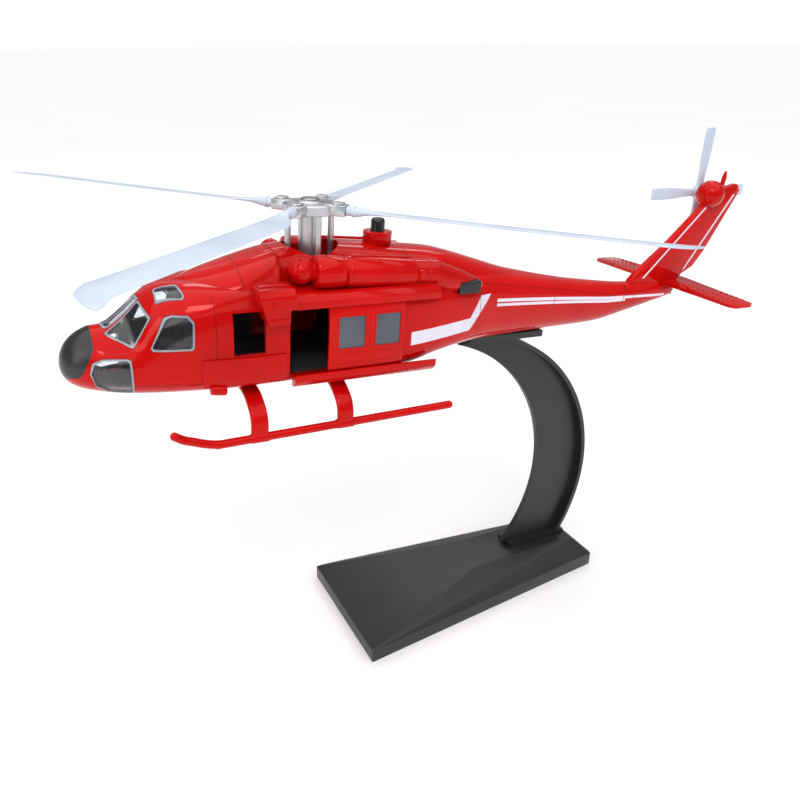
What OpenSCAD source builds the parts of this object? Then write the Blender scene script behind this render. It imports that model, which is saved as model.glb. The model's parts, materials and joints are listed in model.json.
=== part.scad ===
// Die-cast rescue helicopter display model on a curved stand.
//
// Airframe pieces are drawn in the helicopter's own axes: X is the station, counted aft from the
// nose tip, Y is to starboard and Z is the waterline above the belly datum. flying() then sets the
// finished helicopter nose-up on the pad of its stand. The row origin is under the middle of the
// whole model, on the surface the stand rests on.

/* [Stand] */
// Length of the stand's base along the helicopter
base_len = 122.8; // [110:0.2:150]
// Width of the base at its wide front end
base_front_w = 61.2; // [50:0.2:76]
// Width of the base at its narrow rear end
base_rear_w = 32.2; // [26:0.2:42]
// Height of the upright edge around the base
base_edge_h = 6.5; // [5.2:0.1:8]
// Height of the raised flat where the arm stands
base_top_h = 14; // [11.5:0.1:17]
// Width of the raised flat
base_top_w = 19; // [15:0.1:24]
// Wall of the hollow base
base_wall = 2; // [1.6:0.1:2.4]
// Radius of the arm's inner edge
arm_inner_r = 66; // [58:0.5:72]
// Radius of the arm's outer rim
arm_outer_r = 73; // [71:0.5:76]
// Thickness of the arm's web
arm_web_t = 2.4; // [1.8:0.1:3.4]
// Width of the arm's outer rim, its foot and its pad
arm_rim_w = 9.4; // [7.6:0.1:12]
// Thickness of the rim
arm_rim_t = 1.8; // [1.4:0.1:2.6]
// Length of the pad that the tail boom sits on
pad_len = 34.6; // [28:0.2:42]
// Thickness of the pad
pad_t = 2.6; // [2:0.1:3.4]
// Angle that the helicopter sits nose-up
nose_up = 3.63; // [3:0.1:4.4]

/* [Airframe] */
// Wall of the die-cast shells
wall = 1.2; // [1:0.1:1.45]
// Half the width of the cabin
cabin_half_w = 21.9; // [20.5:0.1:24]
// Waterline of the joint between cabin shell and belly pan
seam_w = 5.4; // [4.6:0.1:5.6]
// Width of the rotor well in the roof fairing
well_d = 19.8; // [18.8:0.1:21]
// Span of the stabilator, tip to tip
stab_span = 82; // [68:0.5:99]
// Chord of the stabilator
stab_chord = 15; // [12.5:0.1:17]
// Thickness of the fin
fin_t = 3.2; // [2.6:0.1:3.8]

/* [Sliding doors] */
// Length of a sliding door
door_len = 28.2; // [24:0.1:33]
// Thickness of a sliding door
door_t = 0.9; // [0.7:0.05:1.1]
// Gap between a door and the hull or rail that it runs along
door_gap = 0.2; // [0.16:0.01:0.3]
// Station of the front edge of a closed door
door_closed_s = 69.6; // [69:0.1:71]
// Distance that the port door stands open
door_open = 14; // [5:0.1:20]

/* [Landing skids] */
// Diameter of a skid tube
skid_d = 2.9; // [2.4:0.1:3.5]
// Distance between the two skid tubes
skid_track = 50.4; // [47:0.2:58]
// Drop of the skid tubes below the belly datum
skid_drop = 14.4; // [12:0.1:17]
// Width of a strut along the helicopter
strut_w = 6; // [5:0.1:7.2]
// Thickness of a strut
strut_t = 2.2; // [1.8:0.1:2.6]

/* [Main rotor] */
// Radius of the main rotor to the blade tips
rotor_r = 123.8; // [103:0.1:149]
// Chord of a main blade
blade_chord = 8.4; // [7:0.1:10.1]
// Thickness of a main blade
blade_t = 1.2; // [1:0.1:1.5]
// Rise of a blade's tip above its root
blade_rise = 0.3; // [-1:0.1:1]
// Twist of each blade in its socket, in degrees, leading edge up
blade_pitch = [6, -8, 9, 4];
// Bend of each blade in the plane of the rotor, in degrees
blade_bend = [0, -4.2, 0, 0];
// Angle of the first blade from the tail, in degrees
rotor_set = 45; // [0:1:89]
// Diameter of the silver mast housing
mast_d = 7.6; // [6.8:0.1:8.8]
// Diameter of the rotor shaft
shaft_d = 4; // [3.3:0.1:4.8]
// Radial clearance of the rotor shaft in the mast
shaft_clear = 0.05; // [0.02:0.01:0.08]
// Diameter of a pitch rod
rod_d = 2.2; // [1.8:0.1:2.4]
// Distance of the pitch rods from the rotor axis
rod_orbit = 7.9; // [7.6:0.1:8.2]
// Radius of the hub's arms
hub_r = 13.4; // [12.6:0.1:15]

/* [Tail rotor] */
// Radius of the tail rotor
tail_rotor_r = 26.6; // [22:0.1:32]
// Chord of a tail blade at its tip
tail_chord = 4.9; // [4.1:0.1:5.8]
// Angle of the tail rotor from upright, in degrees
tail_rotor_set = 1; // [0:1:44]
// Diameter of the tail rotor's pin
tail_pin_d = 1.6; // [1.4:0.1:2]
// Radial clearance of the tail rotor on its pin
tail_clear = 0.06; // [0.03:0.01:0.09]

/* [Roof button] */
// Diameter of the push button
button_d = 5; // [4.2:0.1:6]
// Height of the button above its boss
button_h = 4.4; // [3.6:0.1:5.4]
// Travel of the push button
button_travel = 1.2; // [1:0.1:1.4]
// Diameter of the boss around the button
boss_d = 10.4; // [9.6:0.1:12.4]
// Radial clearance of the button in its boss
button_clear = 0.1; // [0.06:0.01:0.15]

/* [Hidden] */

red = "#d3130d";
gloss_black = "#101214";
clear_grey = [0.75, 0.8, 0.85, 0.5];
zinc = "#b9bdc0";
blade_white = "#dfe6f2";
stand_black = "#17191c";
seat_grey = "#2a2d31";
steel = "#8d9196";

seat_gap = 0.03; // face-to-face gap between two fixed pieces
rib_t = 0.05; // thickness of the ribs that a loft is stretched over
ring_points = 36;

// Fuselage sections: station, half width, bottom, widest waterline, top, and how square the
// section is above and below its widest line.
cabin = cabin_half_w;
hull_rows = [
    [0, 0.3, 9.2, 9.5, 9.8, 2, 2],
    [0.6, 3.2, 6.4, 9.5, 13.2, 2, 2],
    [2.4, 6.2, 3.6, 9.8, 16.6, 1.9, 2],
    [5.4, 8.8, 1.9, 10.2, 19.4, 1.8, 2.2],
    [9.6, 11.2, 0.9, 10.6, 21.4, 1.7, 2.5],
    [15, 13.5, 0.3, 11, 22.4, 1.5, 2.9],
    [21.3, 16, 0, 11.2, 27.4, 1.4, 3.1],
    [26.8, 17.8, -0.1, 11.5, 31.6, 1.9, 3.2],
    [33, cabin - 2.7, -0.1, 12, 34.4, 2.6, 3.4],
    [42, cabin - 1.2, -0.1, 12.5, 35.4, 3.4, 3.6],
    [54, cabin - 0.2, 0, 13, 35.2, 4.2, 4],
    [84, cabin, 0.4, 13, 34.6, 4.4, 4],
    [114, cabin - 0.3, 1, 13, 34.4, 4.4, 3.8],
    [128, cabin - 1.9, 3.4, 14, 34.2, 4, 3.4],
    [144, cabin - 5.1, 4.7, 16, 33, 3.4, 3],
    [160, 13.2, 4.5, 17, 31.4, 3, 2.8],
    [190, 8.8, 4.4, 16, 25.6, 2.7, 2.6],
    [214, 6.6, 4.8, 14.5, 22, 2.5, 2.5],
    [227.5, 5.4, 7, 14.2, 20.4, 2.4, 2.4],
    [244, 4, 10.2, 14.6, 19.6, 2.2, 2.2],
    [256, 2.4, 12.6, 15.2, 18.6, 2, 2],
    [259, 0.9, 14.4, 15.6, 17, 2, 2]
];
fold_row = 18; // the tail cone starts at this row
fold_s = hull_rows[fold_row][0];
hollow_rows = 17; // the shell is hollow up to this row
roof_w = 34.6;

// Roof fairing sections, in the same columns
fairing_base_w = 26;
fairing_rows = [
    [37.5, 1.5, fairing_base_w, 30, 35.2, 2, 2],
    [40.5, 8, fairing_base_w, 30, 36, 2, 2],
    [46, 13, fairing_base_w, 30, 37.6, 2.1, 2],
    [54, 16, fairing_base_w, 30, 39.8, 2.2, 2],
    [62, 17.2, fairing_base_w, 30, 42, 2.3, 2],
    [68.5, 17, fairing_base_w, 30, 43.6, 2.4, 2],
    [71, 13.4, fairing_base_w, 30, 44.2, 2.6, 2],
    [78, 12.8, fairing_base_w, 30, 44.8, 2.8, 2],
    [92, 12.6, fairing_base_w, 30, 44.8, 2.8, 2],
    [104, 12.4, fairing_base_w, 30, 43.9, 2.8, 2],
    [118, 12.2, fairing_base_w, 30, 42.4, 2.7, 2],
    [132, 12, fairing_base_w, 30, 40.8, 2.6, 2],
    [142, 11.4, fairing_base_w, 29, 38.4, 2.5, 2],
    [153, 10.4, 22, 27, 35, 2.4, 2],
    [166, 8.8, 18, 24, 31, 2.3, 2],
    [180, 6.6, 16, 21, 27.8, 2.2, 2],
    [194, 4, 14, 18, 25, 2.1, 2]
];
fairing_hollow = [8, 11]; // the room for the sound unit lies between these rows

rotor_s = 84.7; // station of the rotor axis
mast_base_w = roof_w + 0.06;
mast_top_w = 54.4;
flange_d = mast_d + 2.2;
flange_t = 1.4;
ring_lift = 0.6; // the swash ring turns this far above the roof
hub_bottom_w = mast_top_w + 0.3;
hub_t = 3.6;
root_axis_w = hub_bottom_w + hub_t / 2;
socket_d = 2.4;
socket_clear = 0.05;
root_d = 3.2;
shaft_head_d = 6.4;
shaft_head_t = 1;

fin_tip_s = 285.4;
tail_hub_s = 269.5;
tail_hub_w = 56;
dome_r = 5.8;
tail_rotor_y = 5.2; // inboard face of the tail rotor's hub
tail_hub_t = 2.6;

button_s = 110.6;
boss_plug_d = boss_d - 2.4; // the part of the boss that sits in the fairing
boss_top_w = 47.4;
door_low_w = 5;
door_high_w = 28.7;
doorway_high_w = 27.9;
lip_t = 0.5;
rail_end_s = 125.4;
engine_y = -15.2;
engine_r = 5.4;
engine_tilt = 4.3;
perch_s = 169.6; // station of the middle of the pad

// Extent of the model along X, whose middle is the origin
tip_flare = 2.4; // how far the tip sweeps behind the trailing edge
blade_lead = -1.8; // the leading edge, ahead of the pitch axis
blade_trail = blade_chord + blade_lead;
blade_tip_t = blade_trail + tip_flare;
bend_r = 20; // a blade bends here
function tip_x(a, bend) = bend_r * cos(a) + (rotor_r - bend_r) * cos(a + bend) - blade_tip_t * sin(a + bend);
blade_reach = -min([for (i = [0:3]) tip_x(rotor_set + 90 * i, blade_bend[i])]);
tail_reach = max([for (i = [0:3])
    let (a = tail_rotor_set + 90 * i - nose_up)
    tail_rotor_r * cos(a) + tail_chord / 2 * abs(sin(a))]);

// The belly line's height where the pad touches, and distances along X from the pad's middle
perch_w = 4.2;
function from_pad(s, w) = (s - perch_s) * cos(nose_up) + (w - perch_w) * sin(nose_up);
pad_x = -(from_pad(rotor_s - blade_reach, root_axis_w) + from_pad(tail_hub_s, tail_hub_w) + tail_reach) / 2;
pad_top = 122.2;
base_x = pad_x - 73;
inner_c = [pad_x - 42.4, 57.5];
outer_c = [pad_x - 24.9, 52.5];
foot_x = [pad_x + 10.6, pad_x + 41];
foot_t = 2;

function curve(a, b, c, d, t) =
    0.5 * (2 * b + (c - a) * t + (2 * a - 5 * b + 4 * c - d) * t * t
    + (3 * b - a - 3 * c + d) * t * t * t);
function smoothed(rows, steps) = concat(
    [for (i = [0:len(rows) - 2]) for (j = [0:steps - 1])
        curve(rows[max(i - 1, 0)], rows[i], rows[i + 1], rows[min(i + 2, len(rows) - 1)], j / steps)],
    [rows[len(rows) - 1]]
);
function part_of(rows, first, last) = [for (i = [first:last]) rows[i]];
function power(v, e) = sign(v) * pow(abs(v), e);
function section(r, grow) = [for (i = [0:ring_points - 1])
    let (a = 360 * (i + 0.5) / ring_points)
    let (e = 2 / (sin(a) > 0 ? r[5] : r[6]))
    let (rise = sin(a) > 0 ? r[4] - r[3] : r[3] - r[2])
    [(r[1] + grow) * power(cos(a), e), r[3] + (rise + grow) * power(sin(a), e)]
];

// A cross-section plate at its station
module rib(r, grow) {
    translate([r[0], 0, 0])
        rotate([90, 0, 90])
        linear_extrude(rib_t)
        polygon(section(r, grow));
}

// A skin stretched over a row of ribs
module loft(rows, grow = 0) {
    for (i = [0:len(rows) - 2])
        hull() {
            rib(rows[i], grow);
            rib(rows[i + 1], grow);
        }
}

// Sets the helicopter on the pad
module flying() {
    translate([pad_x, 0, pad_top])
        rotate([0, nose_up, 0])
        translate([-perch_s, 0, -perch_w])
        children();
}

module starboard() mirror([0, 1, 0]) children();

module hull_solid(grow = 0) loft(smoothed(hull_rows, 2), grow);
module hull_front(grow = 0) loft(smoothed(part_of(hull_rows, 0, hollow_rows), 2), grow);
module hull_room(steps = 1) loft(smoothed(part_of(hull_rows, 2, hollow_rows), steps), -wall);
module fairing_solid(grow = 0) loft(smoothed(fairing_rows, 2), grow);

// A straight prism between corner points, pushed both ways along a direction
module through(corners, direction, depth, r) {
    hull()
        for (p = corners)
            for (t = [-1, 1])
                translate(p + direction * depth * t)
                    sphere(r, $fn = 8);
}

// ---- openings for the glazing, on the port side ----
pane_corner = 0.7;
windscreen_normal = [-0.587, -0.564, 0.581];
front_normal = [-0.72, 0, 0.69];
function screen_pts(in) = [
    [15.6 + in, -4.6 - in, 19.5 + in], [25.2 - in, -4.6 - in, 29.4 - in],
    [27.2 - in, -12 + in, 26 - in], [21.4 + in / 2, -12.8 + in, 17.6 + in]
];
function centre_pts(in) = [
    [15.6 + in, -3 + in, 20.5 + in], [15.6 + in, 3 - in, 20.5 + in],
    [25 - in, -3 + in, 30.2 - in], [25 - in, 3 - in, 30.2 - in]
];
function side_pts(in) = [
    [26.9 + in, -19, 17.6 + in], [31.3 + in, -19, 26.6 - in], [33.4, -19, 27.3 - in],
    [38 - in, -19, 27.2 - in], [39 - in, -19, 26 - in], [38.5 - in, -19, 17.8 + in]
];
function chin_pts(in) = [
    [8.8 + in, -13, 9.2], [9.6 + in, -13, 12.4 - in], [12.4, -13, 13.4 - in],
    [19.8 - in, -13, 13.6 - in], [20.2 - in, -13, 2.6 + in], [13.6, -13, 2.8 + in], [10.4, -13, 4.8 + in]
];
function roof_pts(in) = [
    [30.4 + in, -5.2 - in, 34], [36.4 - in, -7.3 - in, 34],
    [37.4 - in, -13.8 + in, 34], [30.2 + in, -10.4 + in, 34]
];
along_y = [0, 1, 0];
along_z = [0, 0, 1];

// One side's panes; grow makes the seats that they drop into
module screen_cut(in = 0) through(screen_pts(in), windscreen_normal, 4, pane_corner);
module centre_cut(in = 0) through(centre_pts(in), front_normal, 4, pane_corner);
module side_cut(in = 0) through(side_pts(in), along_y, 5, pane_corner);
module chin_cut(in = 0) through(chin_pts(in), along_y, 11, pane_corner);
module roof_cut(in = 0) through(roof_pts(in), along_z, 3.6, pane_corner);

pane_clear = 0.08;
pane_proud = 0.15;
pane_t = 1.1;

// The clear skin that every pane is cut from
module pane_skin() {
    difference() {
        loft(smoothed(part_of(hull_rows, 1, 10), 2), pane_proud);
        loft(smoothed(part_of(hull_rows, 1, 10), 2), pane_proud - pane_t);
    }
}

module pane() {
    color(clear_grey)
        intersection() {
            pane_skin();
            children();
        }
}

module side_window() pane() side_cut(pane_clear);
module chin_window() pane() chin_cut(pane_clear);

module windscreen() {
    pane() union() {
        centre_cut(pane_clear);
        screen_cut(pane_clear);
        starboard() screen_cut(pane_clear);
    }
}

module roof_windows() {
    pane() union() {
        roof_cut(pane_clear);
        starboard() roof_cut(pane_clear);
    }
}

// ---- airframe shells ----

// The black nose cone's edge, seen from the side
nose_edge = [[-20, -2.6], [5.6, 7.6], [10.2, 16.7], [9.9, 45], [-20, 45]];

module nose_region(gap) {
    rotate([90, 0, 0])
        translate([0, 0, -30])
        linear_extrude(60)
        offset(delta = -gap)
        polygon(nose_edge);
}

module nose_cone() {
    color(gloss_black)
        intersection() {
            difference() {
                hull_front();
                hull_room();
            }
            nose_region(seat_gap);
        }
}

// The doorway and the gunner's window of one side
module cabin_openings() {
    translate([door_closed_s + 0.6, -cabin - 5, door_low_w + 0.6])
        cube([door_len - 1.6, 10, doorway_high_w - door_low_w - 0.6]);
    translate([51.4, -cabin - 5, 14.2])
        cube([10.6, 10, 13.9]);
}

module belly_region(gap) {
    translate([22.4 + gap, -cabin - 5, -10])
        cube([107 - gap * 2, cabin * 2 + 10, seam_w + 10 - gap]);
}

module cabin_shell() {
    color(red)
        difference() {
            loft(smoothed(part_of(hull_rows, 0, fold_row), 2));
            hull_room();
            nose_region(0);
            belly_region(0);
            centre_cut();
            screen_cut();
            side_cut();
            chin_cut();
            roof_cut();
            cabin_openings();
            starboard() {
                screen_cut();
                side_cut();
                chin_cut();
                roof_cut();
                cabin_openings();
            }
        }
}

screw_d = 2.4;
screw_places = [[44, 9], [44, -9], [122, 0]];

module belly_pan() {
    color(red)
        difference() {
            intersection() {
                hull_front();
                belly_region(seat_gap);
            }
            hull_room(2);
            for (p = screw_places)
                translate([p[0], p[1], -10])
                    cylinder(d = screw_d + 0.2, h = 20, $fn = 20);
        }
}

module belly_screws() {
    color(steel)
        for (p = screw_places)
            translate([p[0], p[1], 0.3 + (p[0] > 100 ? 2 : 0)])
                difference() {
                    cylinder(d = screw_d, h = 1.2, $fn = 24);
                    translate([-0.2, -1, -0.6])
                        cube([0.4, 2, 1]);
                    translate([-1, -0.2, -0.6])
                        cube([2, 0.4, 1]);
                }
}

well_wall = 0.9;

module roof_fairing() {
    color(red)
        difference() {
            fairing_solid();
            hull_solid(seat_gap);
            difference() {
                loft(smoothed(part_of(fairing_rows, fairing_hollow[0], fairing_hollow[1]), 2), -wall);
                translate([rotor_s, 0, 0])
                    cylinder(d = well_d + well_wall * 2, h = 60);
            }
            translate([rotor_s, 0, 0])
                cylinder(d = well_d, h = 60, $fn = 48);
            translate([button_s, 0, 0])
                cylinder(d = boss_plug_d + 0.1, h = 60, $fn = 32);
            translate([button_s, 0, boss_seat_w - seat_gap])
                cylinder(d = boss_d + 0.1, h = 5, $fn = 40);
        }
}

fin_outline = [
    [232.5, 21], [236, 24.6], [248.8, 35], [265.3, 50.8], [267, 57], [283.2, 60.4], [fin_tip_s, 57.4],
    [271.6, 31.2], [267.2, 25.1], [261.4, 22], [257.4, 17], [258.4, 13], [240, 12], [230, 14]
];

module fin_blank(grow = 0) {
    rotate([90, 0, 0])
        translate([0, 0, -fin_t / 2 - grow])
        linear_extrude(fin_t + grow * 2)
        offset(r = 0.8 + grow, $fn = 16)
        offset(delta = -0.8)
        polygon(fin_outline);
}

module stab_slot(gap) {
    translate([stab_s - gap, -stab_span, stab_w - gap])
        cube([stab_chord + gap * 2, stab_span * 2, stab_t + gap * 2]);
}

module tail_fin() {
    color(red)
        difference() {
            union() {
                loft(smoothed(part_of(hull_rows, fold_row, len(hull_rows) - 1), 2));
                fin_blank();
            }
            translate([fold_s - 10, -10, 0])
                cube([10 + rib_t + seat_gap, 20, 30]);
            stab_slot(seat_gap);
            translate([tail_hub_s, 0, tail_hub_w])
                sphere(dome_r + seat_gap, $fn = 40);
        }
}

stab_s = 249;
stab_w = 18.6;
stab_t = 1.7;

stab_tip_r = 3;

module stabilator() {
    color(red)
        hull()
            for (side = [-1, 1]) {
                for (x = [stab_s + 0.8, stab_s + stab_chord - 0.8])
                    translate([x, side * 3, stab_w])
                        cylinder(r = 0.8, h = stab_t, $fn = 24);
                for (x = [stab_s + stab_tip_r + 0.4, stab_s + stab_chord - stab_tip_r - 2.6])
                    translate([x, side * (stab_span / 2 - stab_tip_r), stab_w])
                        cylinder(r = stab_tip_r, h = stab_t - 0.5, $fn = 32);
            }
}

dome_boss_r = 2.2;
dome_boss_y = tail_rotor_y - 0.3;
pin_start_y = 1;

module gearbox_dome() {
    color(red)
        at_tail_hub(0)
            rotate_extrude($fn = 48)
            difference() {
                union() {
                    intersection() {
                        circle(dome_r, $fn = 48);
                        translate([0, -dome_r])
                            square([dome_r, dome_r * 2 - 1.2]);
                    }
                    square([dome_boss_r, dome_boss_y]);
                }
                translate([0, pin_start_y])
                    square([tail_pin_d / 2, 10]);
            }
}

module fin_antenna() {
    color(red)
        difference() {
            translate([274.9, 0, 56])
                rotate([0, 6, 0]) {
                cylinder(d1 = 1.7, d2 = 2, h = 7, $fn = 24);
                translate([0, 0, 7])
                    cylinder(d1 = 2, d2 = 0.9, h = 2.6, $fn = 24);
            }
            fin_blank(seat_gap);
            translate([tail_hub_s, 0, tail_hub_w])
                sphere(dome_r + seat_gap, $fn = 40);
        }
}

// ---- cabin interior ----
floor_w = 4.7;
floor_t = 0.9;

room_gap = 0.15; // between the floor or the bulkhead and the skin

module inside() loft(part_of(hull_rows, 2, hollow_rows), -wall - room_gap);

module cabin_floor() {
    color(seat_grey)
        intersection() {
            inside();
            translate([23, -cabin, floor_w])
                cube([100, cabin * 2, floor_t]);
        }
}

seat_base_w = floor_w + floor_t + seat_gap;

module seat(s, y, width, deep, high) {
    color(seat_grey)
        translate([s, y - width / 2, seat_base_w]) {
            translate([0.4, 0.6, 0])
                cube([deep - 0.8, width - 1.2, 3.6]);
            translate([0, 0, 3.6])
                cube([deep, width, 1.9]);
            translate([deep - 1.8, 0, 5.5])
                cube([1.8, width, high - 5.5]);
            translate([deep - 1.8, width * 0.28, high])
                cube([1.8, width * 0.44, 2.6]);
        }
}

module pilot_seat() seat(33.5, 7.6, 8.2, 8, 15.4);
module copilot_seat() seat(33.5, -7.6, 8.2, 8, 15.4);

module cabin_bench() {
    for (y = [-9.2, 0, 9.2])
        seat(92, y, 8.9, 8, 15.4);
    color(seat_grey)
        translate([92.6, -12, seat_base_w])
        cube([6.6, 24, 3.6]);
}

module instrument_panel() {
    color(seat_grey)
        translate([23.6, 0, seat_base_w]) {
            translate([0, -2.4, 0])
                cube([6.4, 4.8, 5.6]);
            translate([0, -10.6, 5.6])
                cube([2.4, 21.2, 3.4]);
        }
}

bulkhead_s = 46.2;

module cockpit_bulkhead() {
    color(seat_grey)
        intersection() {
            inside();
            translate([bulkhead_s, -cabin, seat_base_w])
                difference() {
                    cube([1, cabin * 2, 40]);
                    translate([-1, cabin - 4, -1])
                        cube([3, 8, 19]);
                }
        }
}

// ---- sliding doors and their rails ----

// The doors keep one straight section, so that they slide without binding
door_row = hull_rows[11];
rail_start_s = 71.6;
rail_len = rail_end_s - rail_start_s;
upper_lip_y = cabin + 0.5;
lower_lip_y = cabin + 1.1;

module door_band(start, length, low, high, inner, outer) {
    translate([start, 0, 0])
        intersection() {
            rotate([90, 0, 90])
                linear_extrude(length)
                difference() {
                    polygon(section(door_row, outer));
                    polygon(section(door_row, inner));
                }
            translate([-1, -cabin - 10, low])
                cube([length + 2, cabin + 4, high - low]);
        }
}

module door(shift) {
    color(red)
        door_band(door_closed_s + shift, door_len, door_low_w, door_high_w, door_gap, door_gap + door_t);
}

// A rail's outline in Y and Z, drawn out along the cabin, with a seat for the engine
module rail(outline) {
    color(red)
        difference() {
            translate([rail_start_s, 0, 0])
                rotate([90, 0, 90])
                linear_extrude(rail_len)
                polygon(outline);
            hull_solid(seat_gap);
            on_engine()
                cylinder(r = engine_r + 0.05, h = 60, $fn = 40);
        }
}

module upper_rail() {
    rail([
        [-cabin + 4.4, door_high_w + door_gap], [-upper_lip_y, door_high_w + door_gap],
        [-upper_lip_y, door_high_w - 0.7], [-upper_lip_y - lip_t, door_high_w - 0.7],
        [-upper_lip_y - lip_t, 30.4], [-cabin + 0.6, 32], [-cabin + 4.4, 33.8]
    ]);
}

module lower_rail() {
    rail([
        [-cabin + 4.4, door_low_w - door_gap], [-lower_lip_y, door_low_w - door_gap],
        [-lower_lip_y, door_low_w + 0.6], [-lower_lip_y - lip_t, door_low_w + 0.6],
        [-lower_lip_y - lip_t, 3.1], [-cabin + 0.2, 1.1], [-cabin + 4.4, 0.5]
    ]);
}

panel_proud = 0.9;
panel_start_s = 41.4;
panel_low_w = 3.6;
panel_high_w = 13.6;

module side_panel() {
    color(red)
        difference() {
            union() {
                intersection() {
                    loft(smoothed(part_of(hull_rows, 8, 12), 2), panel_proud);
                    translate([panel_start_s, -cabin - 5, panel_low_w])
                        cube([door_closed_s - 0.6 - panel_start_s, 10, panel_high_w - panel_low_w]);
                }
                hull() {
                    translate([43.6, -cabin + 1.4, 3.4])
                        sphere(1.9, $fn = 16);
                    translate([48.6, -cabin + 1, 2.6])
                        sphere(1.5, $fn = 16);
                }
            }
            hull_solid(seat_gap);
        }
}

// ---- hoist housing over the gunner's window, on the port side only ----
hoist_s = [58.6, 71.2];
hoist_w = [24.4, 36];
hoist_y = [-26.4, -16];

module hoist_housing() {
    color(red)
        difference() {
            hull()
                for (s = hoist_s)
                    for (w = hoist_w)
                        for (y = hoist_y)
                            translate([
                                s + (s == hoist_s[0] ? (w == hoist_w[0] ? 3.6 : 1.1) : -1.1),
                                y + (y == hoist_y[0] ? 1.1 + (w == hoist_w[1] ? 1.8 : 0) : -1.1),
                                w + (w == hoist_w[0] ? 1.1 : -1.1)
                            ])
                                sphere(1.1, $fn = 16);
            hull_solid(seat_gap);
            fairing_solid(seat_gap);
            on_engine()
                translate([0, 0, -intake_back])
                sphere(intake_r + 0.1, $fn = 32);
            door_band(
                door_closed_s - 0.6, 5, door_low_w - 1, door_high_w + door_gap * 2,
                -2, door_gap * 2 + door_t
            );
        }
}

// ---- engines ----
engine_front_s = 76;
engine_front_w = 38.7;
exhaust_s = [135.4, 144.2];
exhaust_w = [27.3, 31.7];
exhaust_y = [-19, -13.6];

// Puts a piece on the engine's sloping axis, which points aft
module on_engine() {
    translate([engine_front_s, engine_y, engine_front_w])
        rotate([0, 90 + engine_tilt, 0])
        children();
}

module exhaust_block(gap) {
    translate([exhaust_s[0] - gap, exhaust_y[0] - gap, exhaust_w[0] - gap])
        cube([
            exhaust_s[1] - exhaust_s[0] + gap * 2,
            exhaust_y[1] - exhaust_y[0] + gap * 2,
            exhaust_w[1] - exhaust_w[0] + gap * 2
        ]);
}

module engine() {
    color(red)
        difference() {
            union() {
                on_engine()
                    rotate_extrude($fn = 28)
                    polygon([
                        [0, 0], [4.6, 0], [engine_r, 0.8], [engine_r, 14], [engine_r - 0.5, 14.6],
                        [engine_r - 0.5, 15.6], [engine_r, 16.2], [engine_r, 40.6],
                        [engine_r - 0.5, 41.4], [engine_r - 0.5, 50], [0, 50]
                    ]);
                hull() {
                    on_engine()
                        translate([0, 0, 49])
                        cylinder(r = engine_r - 0.3, h = 2, $fn = 20);
                    translate([138.3, engine_y - 0.1, 31])
                        sphere(3.9, $fn = 16);
                    translate([147.4, engine_y + 2.7, 28.7])
                        sphere(2, $fn = 12);
                }
            }
            hull_solid(seat_gap);
            fairing_solid(seat_gap);
            exhaust_block(seat_gap);
        }
}

intake_r = 4.8;
intake_back = intake_r + 0.04; // the ball's centre lies this far ahead of the barrel

module intake_cap() {
    color(red)
        difference() {
            on_engine() {
                translate([0, 0, -intake_back])
                    sphere(intake_r, $fn = 20);
                translate([0, 0, -intake_back])
                    cylinder(r = 3.4, h = intake_back - seat_gap, $fn = 20);
            }
            hull_solid(seat_gap);
            fairing_solid(seat_gap);
        }
}

module exhaust() {
    color(gloss_black)
        difference() {
            exhaust_block(0);
            translate([exhaust_s[0] + 1.6, exhaust_y[0] + 0.7, exhaust_w[0] + 0.7])
                cube([10, exhaust_y[1] - exhaust_y[0] - 1.4, exhaust_w[1] - exhaust_w[0] - 1.4]);
            hull_solid(seat_gap);
            fairing_solid(seat_gap);
        }
}

// ---- landing skids ----
skid_y = -skid_track / 2;
skid_route = [[30.4, 5.2], [36.5, 2.3], [45, 0], [131.6, 1.9]]; // station, height over the drop

module skid() {
    color(red)
        for (i = [0:2])
            hull()
                for (p = [skid_route[i], skid_route[i + 1]])
                    translate([p[0], skid_y, p[1] - skid_drop])
                        sphere(d = skid_d, $fn = 16);
}

// Height of the skid tube's middle at a station on its long straight part
function skid_w(s) = -skid_drop + (s - 45) / (131.6 - 45) * 1.9;

module strut(s) {
    low = skid_w(s) + skid_d / 2 - 0.2;
    route = [
        [0, -1], [13.6, -1], [17.4, -1.7], [20.6, -3.4], [-skid_y - 1.6, -5.4], [-skid_y, -8.6],
        [-skid_y, low - 0.6]
    ];
    color(red)
        difference() {
            for (side = [-1, 1])
                for (i = [0:len(route) - 2])
                    hull()
                        for (p = [route[i], route[i + 1]])
                            translate([s - strut_w / 2, side * p[0], p[1]])
                                rotate([0, 90, 0])
                                cylinder(d = strut_t, h = strut_w, $fn = 16);
            for (side = [-1, 1])
                translate([s - 10, side * skid_y, skid_w(s - 10)])
                    rotate([0, 90 - atan2(skid_w(s + 10) - skid_w(s - 10), 20), 0])
                    cylinder(d = skid_d + seat_gap * 2, h = 20, $fn = 20);
            hull_solid(seat_gap);
        }
}

// ---- main rotor ----
module at_mast() translate([rotor_s, 0, 0]) children();

module mast_housing() {
    color(zinc)
        at_mast()
            difference() {
                union() {
                    translate([0, 0, mast_base_w])
                        cylinder(d = flange_d, h = flange_t);
                    translate([0, 0, mast_base_w])
                        cylinder(d = mast_d, h = mast_top_w - mast_base_w);
                }
                translate([0, 0, mast_base_w - 1])
                    cylinder(d = shaft_d + shaft_clear * 2, h = 40);
            }
}

module rotor_shaft() {
    color(steel)
        at_mast() {
            translate([0, 0, mast_base_w + 0.4])
                cylinder(d = shaft_d, h = hub_bottom_w + hub_t - mast_base_w - 0.4);
            translate([0, 0, hub_bottom_w + hub_t])
                cylinder(d = shaft_head_d, h = shaft_head_t);
        }
}

ring_w = mast_base_w + ring_lift;
ring_t = 1.2;

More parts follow.
